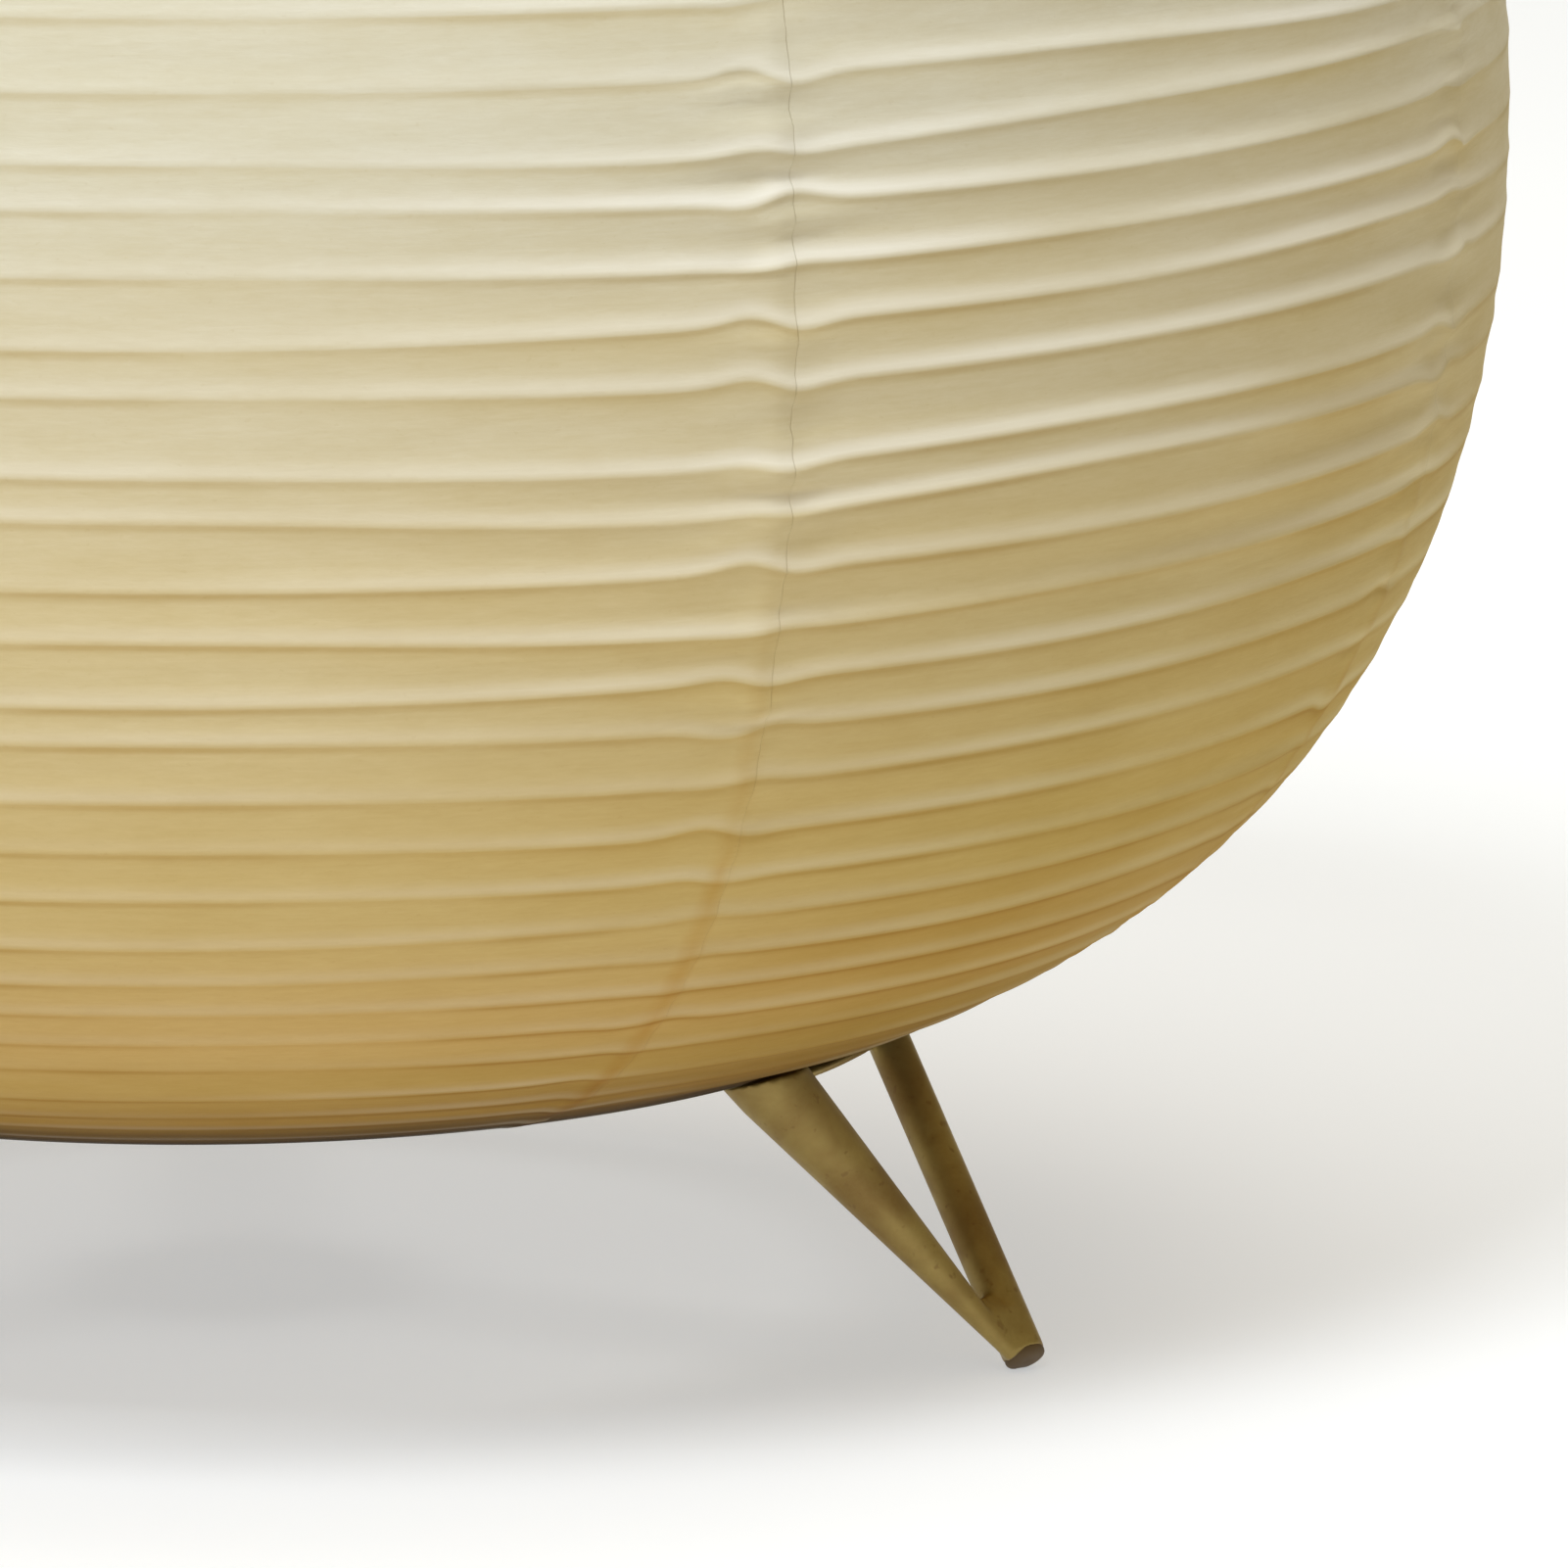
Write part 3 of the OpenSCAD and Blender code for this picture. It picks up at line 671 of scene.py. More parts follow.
def dent(a, s, t, band):
    """How far in mm the paper lies inside the ridges' surface. t runs from 0 at the ridge below to 1 at the ridge above, and band is their distance."""
    w = near_seam(a, s)
    at_seam = np.exp(-((w / 4.0) ** 2))
    edge = np.clip(np.minimum(s, LEN - s) / 9.0, 0, 1)
    depth = 0.78 * np.clip(1 + 0.36 * sample(F_DEPTH, a, s), 0.3, 1.8) * (band / PITCH) * edge
    # the lower part of the sheet hangs flatter, and so does a stretch on the right-hand side
    depth = depth * np.interp(s, [0, 60, 190, LEN], [0.4, 0.5, 1.0, 1.0])
    depth = depth * gain(a)
    depth = depth * (1 - 0.45 * np.exp(-((s / 110) ** 2)) * np.exp(-(((a - FRONT - math.radians(74)) / math.radians(14)) ** 2)))
    depth = depth * (1 - 0.15 * at_seam)
    # the sheet leaves the ridge below steeply, is deepest a third of the way up, and comes back out slowly to the ridge above
    d = depth * 0.80 * np.interp(t, FOLD_T, FOLD_D)
    # puckers where the glued laps have shrunk: strongest near the widest ring
    high = np.clip((s - 85) / 110, 0.12, 1) * np.clip((LEN - 70 - s) / 90, 0.2, 1)
    env = np.exp(-((w / 13.0) ** 2)) * high
    amp = 0.42 * np.clip(1 + 0.4 * sample(F_LEVEL, a, s), 0.3, 2)
    d = d + env * amp * (0.75 * sample(F_PUCKER, a, s) + 0.6 * sample(F_PUCKER2, a, s)) * edge
    d = d - 0.08 * np.exp(-(((w - 1.5) / 3.0) ** 2)) * edge
    # slanting wrinkles, and a small bulge where each ridge crosses the lap
    slant = sample(F_CREASE, a + 1.9 * s / SHADE_R, s) + sample(F_CREASE, a - 2.4 * s / SHADE_R + 1.0, s)
    d = d + 0.27 * np.exp(-((w / 11.0) ** 2)) * high * slant * edge
    on_ridge = np.exp(-((t * band / 3.4) ** 2)) + np.exp(-(((1 - t) * band / 1.1) ** 2))
    d = d - 0.34 * np.exp(-(((w + 0.5) / 5.0) ** 2)) * on_ridge * np.clip(0.8 + 0.6 * sample(F_LEVEL, a + 2.0, s), 0, 1.8) * high * edge
    mid = 4 * t * (1 - t)
    crease = 0.05 + 0.20 * np.exp(-((w / 20.0) ** 2)) * high
    d = d + mid * (crease * sample(F_CREASE, a, s) + 0.08 * sample(F_WAVE, a, s)) * edge
    return d


HEM_S = 4.5  # where the stiff hem round each hoop meets the loose sheet, in mm from the rim

T_IN = np.array([0, .035, .08, .15, .25, .38, .5, .62, .75, .85, .92, .965])


def gore_mesh(name, g):
    a0 = SEAM0 + (g - 1) * GORE
    a1 = a0 + GORE
    wide = GORE * SHADE_R
    close = np.array([0, 0.8, 1.6, 2.5, 3.5, 4.7, 6, 7.5, 9, 11, 13, 15.5, 18.5, 22])
    mid = np.linspace(22, wide - 22, 48)[1:-1]
    main = np.concatenate([close, mid, wide - close[::-1]]) / wide * GORE + a0
    lap = np.array([0.8, 1.6, 2.4, 3.1, 3.7, 4.0])
    C = len(main) + len(lap)

    def rows_at(a):
        """Returns the angle a spread over all the rows."""
        a = np.broadcast_to(a, (R,)) if R else a
        return a

    js = np.arange(-3, 46)
    ends = np.array([ridge(js - (a - FRONT) / (2 * math.pi)) for a in np.linspace(a0, a1 + 0.05, 24)])
    ok = (ends.min(0) >= 7.0) & (ends.max(0) <= LEN - 7.0)
    j0, j1 = js[ok][0], js[ok][-1]
    n_end = 12
    # rows next to a rim lie at fixed distances from it, so that the hem can be a piece of its own
    fixed = np.array([0, 0.6, 1.5, 2.5, 3.5, HEM_S])
    step = np.arange(1, 7) / 7
    R = n_end + (j1 - j0) * len(T_IN) + n_end + 1

    S = np.zeros((R, C))
    T = np.zeros((R, C))
    B = np.zeros((R, C))
    A = np.zeros((R, C))
    for c in range(C):
        if c < len(main):
            ang = np.full(R, main[c])
            tries = 1
        else:
            ang = np.full(R, a1)
            tries = 3
        for _ in range(tries):
            k = 0
            s_c, t_c, b_c = np.zeros(R), np.zeros(R), np.zeros(R)
            aa = ang[k : k + n_end]
            top = ridge(j0 - (aa - FRONT) / (2 * math.pi))
            s_l = np.concatenate([fixed, HEM_S + (top[6:] - HEM_S) * step])
            s_c[:n_end], t_c[:n_end], b_c[:n_end] = s_l, s_l / top, top
            k = n_end
            for j in range(j0, j1):
                aa = ang[k : k + len(T_IN)]
                lo = ridge(j - (aa - FRONT) / (2 * math.pi))
                hi = ridge(j + 1 - (aa - FRONT) / (2 * math.pi))
                s_c[k : k + len(T_IN)] = lo + (hi - lo) * T_IN
                t_c[k : k + len(T_IN)] = T_IN
                b_c[k : k + len(T_IN)] = hi - lo
                k += len(T_IN)
            aa = ang[k:]
            lo = ridge(j1 - (aa - FRONT) / (2 * math.pi))
            s_h = np.concatenate([lo[:7] + (LEN - HEM_S - lo[:7]) * np.arange(7) / 7, LEN - fixed[::-1]])
            s_c[k:], t_c[k:], b_c[k:] = s_h, (s_h - lo) / (LEN - lo), LEN - lo
            if c >= len(main):
                ang = a1 + lap[c - len(main)] / np.interp(s_c, sf, rf)
        S[:, c], T[:, c], B[:, c], A[:, c] = s_c, t_c, b_c, ang

    d = dent(A, S, T, B)
    # the lap lies on the next gore, and the first few mm of the gore below it dip under the last one's lap
    thick = np.full(C, PAPER_T)
    thick[len(main) - 5 : len(main)] = [0.22, 0.19, 0.17, 0.15, 0.14]
    thick[len(main) :] = [0.13, 0.11, 0.09, 0.06, 0.035, 0.012]
    over = np.zeros(C)
    over[len(main) :] = thick[len(main) :] + [0.02, 0.02, 0.02, 0.016, 0.012, 0.008]
    over[len(main) - 5 : len(main)] = [0.02, 0.05, 0.09, 0.12, 0.15]
    d = d - over[None, :]
    r, z, nr, nz, t_r, t_z = curve(S)
    pr, pz = r - d * nr, z - d * nz

    # hems: the sheet goes round the hoop and a little way up inside
    def hem(s_end, sign):
        r0, z0, n0r, n0z, t0r, t0z = [float(v) for v in curve(np.array([s_end]))] if False else [float(v[0]) for v in curve(np.array([s_end]))]
        cr, cz = r0 - HOOP_IN * n0r, z0 - HOOP_IN * n0z
        dr, dz = -sign * t0r, -sign * t0z
        pts = []
        for psi in np.linspace(0, math.pi, 11)[1:]:
            rho = HOOP_IN - 0.5 * min(1, psi / 1.2)
            vr, vz = math.cos(psi) * n0r + math.sin(psi) * dr, math.cos(psi) * n0z + math.sin(psi) * dz
            pts.append((cr + rho * vr, cz + rho * vz, vr, vz, 0.0))
        for x in np.linspace(0, 9, 8)[1:]:
            s_x = s_end + sign * x
            rr, zz, n_r, n_z, _, _ = [float(v[0]) for v in curve(np.array([s_x]))]
            e = x / 9
            off = (HOOP_IN + 1.9) * (1 - e) ** 2 + 2.0 * (1 - (1 - e) ** 2)
            pts.append((rr - off * n_r, zz - off * n_z, -n_r, -n_z, x))
        return pts

    low, high = hem(0.0, 1), hem(LEN, -1)

    def hem_rows(pts, row, s_end, sign):
        out = []
        for p in pts:
            ang = A[row].copy()
            w = near_seam(ang, np.full(C, s_end))
            wob = 0.10 * sample(F_PUCKER2, ang * 1.0, np.full(C, s_end + sign * (3 + p[4]))) + over * 0.8
            rr = p[0] + wob * p[2]
            zz = p[1] + wob * p[3]
            out.append((rr, zz, np.full(C, p[2]), np.full(C, p[3]), ang, np.full(C, s_end + sign * p[4] * 0.2)))
        return out

    rows = []
    for q in reversed(hem_rows(low, 0, 0.0, 1)):
        rows.append(q + (np.zeros(C), np.ones(C), np.zeros(C), np.zeros(C)))
    hem_n = len(low)
    # signed distance below the ridge, for the dark line of strip and painted shadow
    below = np.minimum(np.where(T > 0.5, (1 - T) * B, 99), 99)
    above = np.where(T <= 0.5, T * B, 99)
    strip_shadow_line = np.exp(-(((below - 0.75) / 0.85) ** 2)) + 0.35 * np.exp(-((above / 0.45) ** 2))
    strip_shadow_line = np.clip(strip_shadow_line, 0, 1) * np.clip(0.75 + 0.35 * sample(F_LEVEL, A + 1.0, S), 0.25, 1.2)
    strong = np.clip(gain(A) / 1.4, 0.3, 1)
    # painted highlight just above each ridge, and painted shade in the fold under each ridge, both stronger where the
    # folds are deeper
    ridge_highlight_band = np.exp(-(((T * B - 1.3) / np.where(T * B < 1.3, 0.9, 2.0)) ** 2)) * np.clip(0.8 + 0.4 * sample(F_WAVE, A + 2.0, S), 0.2, 1.4) * strong
    fold_shade_band = np.exp(-(((1 - T) * B) / 5.2) ** 1.4) * np.clip(0.8 + 0.35 * sample(F_WAVE, A + 3.0, S), 0.2, 1.3) * strong
    for i in range(R):
        rows.append((pr[i], pz[i], nr[i], nz[i], A[i], S[i], strip_shadow_line[i], np.zeros(C), ridge_highlight_band[i], fold_shade_band[i]))
    for q in hem_rows(high, R - 1, LEN, -1):
        rows.append(q + (np.zeros(C), np.ones(C), np.zeros(C), np.zeros(C)))
    M = len(rows)
    PR, PZ, NR, NZ, AN, SS, STRIP_SHADOW_LINE, HM, RIDGE_HIGHLIGHT, FOLD_SHADE = (np.array([row[i] for row in rows]) for i in range(10))

    whole = (PR, PZ, NR, NZ, AN, SS, STRIP_SHADOW_LINE, HM, RIDGE_HIGHLIGHT, FOLD_SHADE)

    def part(name, first, last):
        """The closed sheet between two of the rows."""
        PR, PZ, NR, NZ, AN, SS, STRIP_SHADOW_LINE, HM, RIDGE_HIGHLIGHT, FOLD_SHADE = (x[first : last + 1] for x in whole)
        M = len(PR)
        outer = np.stack([PR * np.cos(AN), PR * np.sin(AN), PZ], -1)
        IR, IZ = PR - thick[None, :] * NR, PZ - thick[None, :] * NZ
        inner = np.stack([IR * np.cos(AN), IR * np.sin(AN), IZ], -1)
        V = np.concatenate([outer.reshape(-1, 3), inner.reshape(-1, 3)]) * MM
        idx = np.arange(M * C).reshape(M, C)
        o = np.stack([idx[:-1, :-1], idx[:-1, 1:], idx[1:, 1:], idx[1:, :-1]], -1).reshape(-1, 4)
        i_ = o[:, ::-1] + M * C

        def wall(line_idx, flip):
            a, b = line_idx[:-1], line_idx[1:]
            f = np.stack([a, b, b + M * C, a + M * C], -1)
            return f[:, ::-1] if flip else f

        Q = np.concatenate([o, i_, wall(idx[0, :], True), wall(idx[-1, :], False), wall(idx[:, 0], False), wall(idx[:, -1], True)])
        me = grid_mesh(name, V, Q)
        wn = near_seam(AN, np.clip(SS, 0, LEN))
        soft = np.clip(1 - np.abs(wn - 1.8) / 3.2, 0, 1)
        lapped = np.maximum(soft, HM * 0.7)

        def attr(nm, arr):
            at = me.attributes.new(nm, "FLOAT", "POINT")
            at.data.foreach_set("value", np.concatenate([arr.ravel(), arr.ravel()]).astype(np.float32))

        attr("arc", np.clip(SS / LEN, 0, 1))
        attr("rib", STRIP_SHADOW_LINE)
        attr("lap", lapped)
        attr("painted_ridge_highlight", np.clip(RIDGE_HIGHLIGHT, 0, 1))
        attr("under", np.clip(FOLD_SHADE, 0, 1))
        # painted shade: the side turned away from the key light is made darker and yellower, mostly low down, and a
        # little more in a band below the widest ring
        turn = np.degrees((AN - FRONT + math.pi) % (2 * math.pi) - math.pi)
        side_shade = np.interp(turn, [-180, -150, -60, 4, 24, 42, 100, 150, 180], [0.25, 0.1, 0, 0.05, 0.45, 1, 1, 0.4, 0.25])
        side_shade = side_shade * np.interp(SS / LEN, [0, 0.24, 0.34, 0.44, 0.56, 1], [1, 0.95, 0.55, 0.3, 0.05, 0.25])
        attr("painted_side_shade", side_shade + np.interp(turn, [48, 70, 110, 140], [0, 0.24, 0.24, 0]) * np.interp(SS / LEN, [0.2, 0.34, 0.48, 0.57, 0.9], [0, 1, 0.9, 0.4, 0]))
        uvl = me.uv_layers.new(name="sheet")
        uu = np.concatenate([(AN * SHADE_R * MM).ravel()] * 2)
        vv = np.concatenate([(SS * MM).ravel()] * 2)
        li = Q.ravel()
        uvl.data.foreach_set("uv", np.stack([uu[li], vv[li]], -1).astype(np.float32).ravel())
        return me

    low_end, high_end = hem_n + 5, hem_n + R - 6
    return part(name, low_end, high_end), part(f"paper_hem_lower_{g}", 0, low_end), part(f"paper_hem_upper_{g}", high_end, M - 1)


def crisp_edges(ob):
    """Keeps the sheet's cut edges flat-shaded, so that they don't bend the shading of the sheet beside them."""
    me = ob.data
    nv = len(me.vertices) // 2
    vi = np.zeros(len(me.loops), np.int32)
    me.loops.foreach_get("vertex_index", vi)
    quad = vi.reshape(-1, 4)
    cut = ((quad < nv).any(1)) & ((quad >= nv).any(1))
    me.polygons.foreach_set("use_smooth", ~cut)
    me.update()


def folds(ob):
    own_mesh(ob)
    return ob


for g in range(1, 9):
    sheet, hem_low, hem_high = gore_mesh(f"paper_gore_{g}", g)
    ob = link(f"paper_gore_{g}", sheet, "washi_paper", "shade", (f"gore_{g}",))
    crisp_edges(ob)
    # the hems are stiff with glue and stay round their hoops when the shade folds
    crisp_edges(link(f"paper_hem_lower_{g}", hem_low, "washi_paper", "shade_foot"))
    crisp_edges(link(f"paper_hem_upper_{g}", hem_high, "washi_paper", "shade"))
    folds(ob)


def rib_mesh():
    """The bamboo strip: one helix from hem to hem."""
    q0, q1 = 0.15, (LEN - 12 - START) / PITCH
    # more points near the seams, where the strip follows the puckers
    w = np.concatenate([[-14, -11, -9, -7, -5.5, -4, -2.5, -1, 0.5, 2, 3.5, 5, 7, 9, 11, 14], np.linspace(14, GORE * SHADE_R - 14, 17)[1:-1]])
    m = np.arange(-2, 8 * 45)
    q = (SEAM_Q + m[:, None] / 8 + w[None, :] / (2 * math.pi * SHADE_R)).ravel()
    q = np.sort(q[(q > q0) & (q < q1)])
    k = len(q)
    s = np.clip(ridge(q), 4, LEN - 4)
    a = FRONT - 2 * math.pi * q
    r, z, nr, nz, t_r, t_z = curve(s)
    band = np.full(k, PITCH)
    inward = np.clip(dent(a, s, np.zeros(k), band), 0, 2)
    for dt in (0.45, 0.9):
        for up in (1, -1):
            share = dt / PITCH if up > 0 else 1 - dt / PITCH
            inward = np.maximum(inward, dent(a, s + up * dt, np.full(k, share), band) - 0.5 * dt ** 2)
    inward = np.maximum(inward, np.maximum(np.roll(inward, 1), np.roll(inward, -1)) * 0.85)
    # its two ends lie under the plain strip of paper beside each hem
    inward = inward + 0.7 * np.clip((s - (LEN - 30)) / 10, 0, 1) + 0.7 * np.clip((30 - s) / 10, 0, 1)
    # a strip 1.8 high and 1.2 deep, its outer face rounded where the paper bends over it
    cs = np.array([(-0.45, -0.9), (-0.95, -0.9), (-1.2, -0.65), (-1.2, 0.65), (-0.95, 0.9), (-0.45, 0.9), (0.0, 0.4), (0.0, -0.4)])
    off = -(PAPER_T + 0.16) - inward
    V = []
    for dn, dt in cs:
        rr = r + (off + dn) * nr + dt * t_r
        zz = z + (off + dn) * nz + dt * t_z
        V.append(np.stack([rr * np.cos(a), rr * np.sin(a), zz], -1))
    V = np.stack(V, 1)
    m = len(cs)
    idx = np.arange(k * m).reshape(k, m)
    nxt = np.roll(idx, -1, 1)
    Q = np.stack([idx[:-1], nxt[:-1], nxt[1:], idx[1:]], -1).reshape(-1, 4)
    caps = [[idx[0, 3], idx[0, 2], idx[0, 1], idx[0, 0]], [idx[0, 7], idx[0, 6], idx[0, 5], idx[0, 4]], [idx[0, 0], idx[0, 7], idx[0, 4], idx[0, 3]],
            [idx[-1, 0], idx[-1, 1], idx[-1, 2], idx[-1, 3]], [idx[-1, 4], idx[-1, 5], idx[-1, 6], idx[-1, 7]], [idx[-1, 3], idx[-1, 4], idx[-1, 7], idx[-1, 0]]]
    Q = np.concatenate([Q, np.array(caps)])
    me = grid_mesh("rib_strip", V.reshape(-1, 3) * MM, Q)
    uvl = me.uv_layers.new(name="sheet")
    uu = np.repeat(np.cumsum(np.concatenate([[0], np.diff(q) * 2 * math.pi * 0.2])), m)
    vv = np.tile(np.arange(m) * 0.0008, k)
    li = Q.ravel()
    uvl.data.foreach_set("uv", np.stack([uu[li], vv[li]], -1).astype(np.float32).ravel())
    fix_normals(me)
    return me


folds(link("rib_strip", rib_mesh(), "bamboo", "shade", ("shade_ribs",)))

# ------------------------------------------------------------------ hoops
r0, z0, n0r, n0z, _, _ = [float(v[0]) for v in curve(np.array([0.0]))]
HOOP_R, HOOP_Z = r0 - HOOP_IN * n0r, z0 - HOOP_IN * n0z
HOOP_TOP = 2 * MID_Z - HOOP_Z


def hoop(name, z, body, node):
    path = [(HOOP_R * math.cos(a), HOOP_R * math.sin(a), z) for a in np.linspace(0, 2 * math.pi, 361)[:-1]]
    return tube(name, path, 1.45, "hoop_wire", body, (node,), 16, True)


hoop("hoop_upper", HOOP_TOP, "shade", "top_hoop")
hoop("hoop_lower", HOOP_Z, "shade_foot", "bottom_hoop")

# ------------------------------------------------------------------ spider
parts = []
z = HOOP_TOP
eye = [(5 * math.cos(a), 5 * math.sin(a), z) for a in np.linspace(0, 2 * math.pi, 61)[:-1]]
parts.append(tube_arrays(eye, 1.4, 16, True))
for i in range(3):
    a = math.radians(-30 + 120 * i)
    hook = 1.5 + 1.4 + 0.1
    flat = [(5.4, z)] + [(x, z) for x in np.linspace(12, HOOP_R - hook - 3, 20)]
    # the arm runs out, under the hoop and up round its outside as far as the paper allows
    flat += [(HOOP_R - hook * math.cos(t), z - hook * math.sin(t)) for t in np.linspace(0.0, math.radians(150), 22)]
    path = [(x * math.cos(a), x * math.sin(a), zz) for x, zz in flat]
    parts.append(tube_arrays(path, 1.4, 14))
joined("spider_wire", parts, "brass_small", "shade", ("top_spider",))

# ------------------------------------------------------------------ legs
PLATE_Z, TAB_T = 56.8, 1.7
A_TOP = math.radians(10.2)
ARM_TOP = np.array([134 * math.cos(A_TOP), 134 * math.sin(A_TOP), 56.5])
ARM_FOOT = np.array([172, 1.7, 2.9])
ARM_DIR = ARM_FOOT - ARM_TOP
ARM_LEN = float(np.linalg.norm(ARM_DIR))
U = ARM_DIR / ARM_LEN


def turned(V, deg):
    c, s = math.cos(math.radians(deg)), math.sin(math.radians(deg))
    V = np.asarray(V, float)
    return np.stack([V[:, 0] * c - V[:, 1] * s, V[:, 0] * s + V[:, 1] * c, V[:, 2]], -1)


def mirrored(V, F):
    V = np.asarray(V, float).copy()
    V[:, 1] *= -1
    return V, [tuple(reversed(f)) for f in F]


def under_paper(V, first, direction):
    """Slides the first ring of a tube up along the tube until it is just under the paper, or level with the plate inside the rim."""
    for i in range(first):
        lo, hi = -2.0, 14.0
        for _ in range(40):
            m = (lo + hi) / 2
            p = V[i] - direction * m
            rr = math.hypot(p[0], p[1])
            half = rf[: len(rf) // 2]
            ceil = PLATE_Z if rr < rf[0] else float(np.interp(rr + 0.1, half, zf[: len(zf) // 2])) - 0.15
            if p[2] < ceil:
                lo = m
            else:
                hi = m
        V[i] = V[i] - direction * lo
    return V


def tab_solid(thick_top, thick_bottom):
    """The plate between the arm tops."""
    half = math.radians(11.2)
    outer_r, inner_r = 132.6, 114.0
    pts = [(outer_r * math.cos(t), outer_r * math.sin(t)) for t in np.linspace(-half, half, 25)]
    pts += [(inner_r * math.cos(t), inner_r * math.sin(t)) for t in np.linspace(half, -half, 21)]
    k = len(pts)
    V = [(x, y, thick_bottom) for x, y in pts] + [(x, y, thick_top) for x, y in pts]
    F = [tuple(reversed(range(k))), tuple(range(k, 2 * k))] + [(i, (i + 1) % k, (i + 1) % k + k, i + k) for i in range(k)]
    return V, F


def welded(name, parts, slot, body, replaces, voxel=0.5, smooth=6):
    """Joins closed solids into one skin with small fillets where they meet, as welding and filing leave it."""
    tmp = joined("tmp_" + name, parts, slot, body)
    r = tmp.modifiers.new("remesh", "REMESH")
    r.mode, r.voxel_size, r.use_smooth_shade = "VOXEL", voxel * MM, True
    s = tmp.modifiers.new("smooth", "SMOOTH")
    s.factor, s.iterations = 0.5, smooth
    dg = bpy.context.evaluated_depsgraph_get()
    me = bpy.data.meshes.new_from_object(tmp.evaluated_get(dg))
    me.name = name
    bpy.data.objects.remove(tmp)
    me.materials.clear()
    return link(name, me, slot, body, replaces)


for i, deg in enumerate((-30, 90, 210), 1):
    # straight arm
    ts = np.concatenate([np.linspace(-0.02, 0.99, 60), [1.0]])
    V1, F1 = tube_arrays([ARM_TOP + ARM_DIR * t for t in ts], 4.2, 48)
    V1 = under_paper(V1, 48, U)
    # tapered arm
    ts = np.linspace(-0.02, 0.985, 60)
    V2, F2 = tube_arrays([ARM_TOP + ARM_DIR * t for t in ts], 7.5 + (1.4 - 7.5) * ts, 56)
    V2 = under_paper(V2, 56, U)
    V2, F2 = mirrored(V2, F2)
    V3, F3 = tab_solid(PLATE_Z, PLATE_Z - TAB_T)
    solids = [(turned(V1, deg), F1), (turned(V2, deg), F2), (turned(np.array(V3), deg), F3)]
    # weld that fills the fork between the arms
    for f in (0.15, 0.35, 0.55, 0.75, 0.9):
        ts = np.linspace(0.80, 0.99, 14)
        mid = np.array([ARM_TOP + ARM_DIR * t for t in ts])
        mid[:, 1] *= 2 * f - 1
        own = (7.5 - 6.1 * ts) * (1 - f) + 4.2 * f
        V4, F4 = tube_arrays(mid, own * np.clip((ts - 0.77) / 0.10, 0.35, 1.0), 24)
        solids.append((turned(V4, deg), F4))
    welded(f"leg_{i}_frame", solids, "aged_brass", "base", (f"leg_{i}",), 0.5, 8)

    # tip on the foot end, cut flat by the floor
    prof = [(0, -0.3), (3.9, -0.3), (4.0, 0.1), (4.0, 0.4), (3.9, 0.75), (3.65, 1.05), (3.2, 1.3), (2.4, 1.5), (1.3, 1.6), (0, 1.64)]
    seg = 40
    side = np.cross(U, [0, 0, 1.0])
    side /= np.linalg.norm(side)
    other = np.cross(side, U)
    VV, FF = [], []
    for r_, h_ in prof:
        for j in range(seg):
            t = 2 * math.pi * j / seg
            VV.append(ARM_FOOT + U * h_ + (side * math.cos(t) + other * math.sin(t)) * max(r_, 1e-3))
    for k in range(len(prof) - 1):
        for j in range(seg):
            a_, b_ = k * seg + j, k * seg + (j + 1) % seg
            FF.append((a_, b_, b_ + seg, a_ + seg))
    VV = np.array(VV)
    VV[:, 2] = np.maximum(VV[:, 2], 0.0)
    joined(f"foot_tip_{i}", [(turned(VV, deg), FF)], "foot_tip", "base", (f"foot_pad_{i}",))

# ------------------------------------------------------------------ base, stem and gland
refine("base_plate", "steel_plate", "base", 0.35)
refine("leg_screws", "brass_small", "base", 0.25)
refine("leg_nuts", "zinc_steel", "base", 0.3)
refine("gland_cap", "black_plastic", "base", 0.25)
refine("gland_body", "black_plastic", "base", 0.3)
refine("stem_nut", "zinc_steel", "base", 0.35)
refine("terminal_screws", "zinc_steel", "base", 0.12)
refine("centre_contact", "contact_brass", "base", 0.08)
refine("holder_insert", "porcelain", "base", 0.3)
refine("shade_ring", "holder_white", "base", 0.25)

HZ = 151.0
thread_rod = []
for zz in np.arange(43.1, 160.1 + 1e-6, 0.25):
    thread_rod.append((5.0, zz))
lathe("stem_rod_fine", [(3.5, 43.1), (4.7, 43.1)] + thread_rod[1:-1] + [(4.7, 160.1), (3.5, 160.1)], "zinc_steel", "base",
      ("stem_rod",), 64, wave=lambda a, r, z: (0.12 * (math.cos(2 * math.pi * z - a) - 1)) if r > 4.9 else 0)
lathe("stem_washer_fine", rounded([(5.3, 59.85), (11, 59.85), (11, 61.35), (5.3, 61.35)], 0.3), "brass_small", "base", ("stem_washer",), 72)
lathe("stem_tube_fine", rounded([(5.4, 61.4), (7, 61.4), (7, 150.95), (5.4, 150.95)], 0.35), "brass_small", "base", ("stem_tube",), 72)

# ------------------------------------------------------------------ lampholder
cap = [(5.05, 0), (9, 0), (13, 2.2), (17, 5.6), (19.2, 9.6), (20, 13.5), (20, 21), (18, 21), (18, 13.8), (17.3, 10.4), (15.4, 7.2),
       (12, 4.4), (9.4, 3), (8, 3), (8, 8), (5.05, 8)]
lathe("holder_cap_fine", rounded(cap, [0.4, 0.8, 3, 3, 3, 3, 0.5, 0.4, 1, 1, 1, 1, 0.5, 0.5, 0.4, 0.4]), "holder_white", "base", ("holder_cap",), 96, z0=HZ)


def skirt_thread(a, r, z):
    """The outer thread on the skirt that the ring turns on."""
    if 19.6 < r < 19.8 and 5.6 < z < 36:
        return 0.28 * (math.cos(2 * math.pi * z / 2.5 - a) - 1) * min(1, (z - 5.6) / 1.5, (36 - z) / 1.5)
    return 0


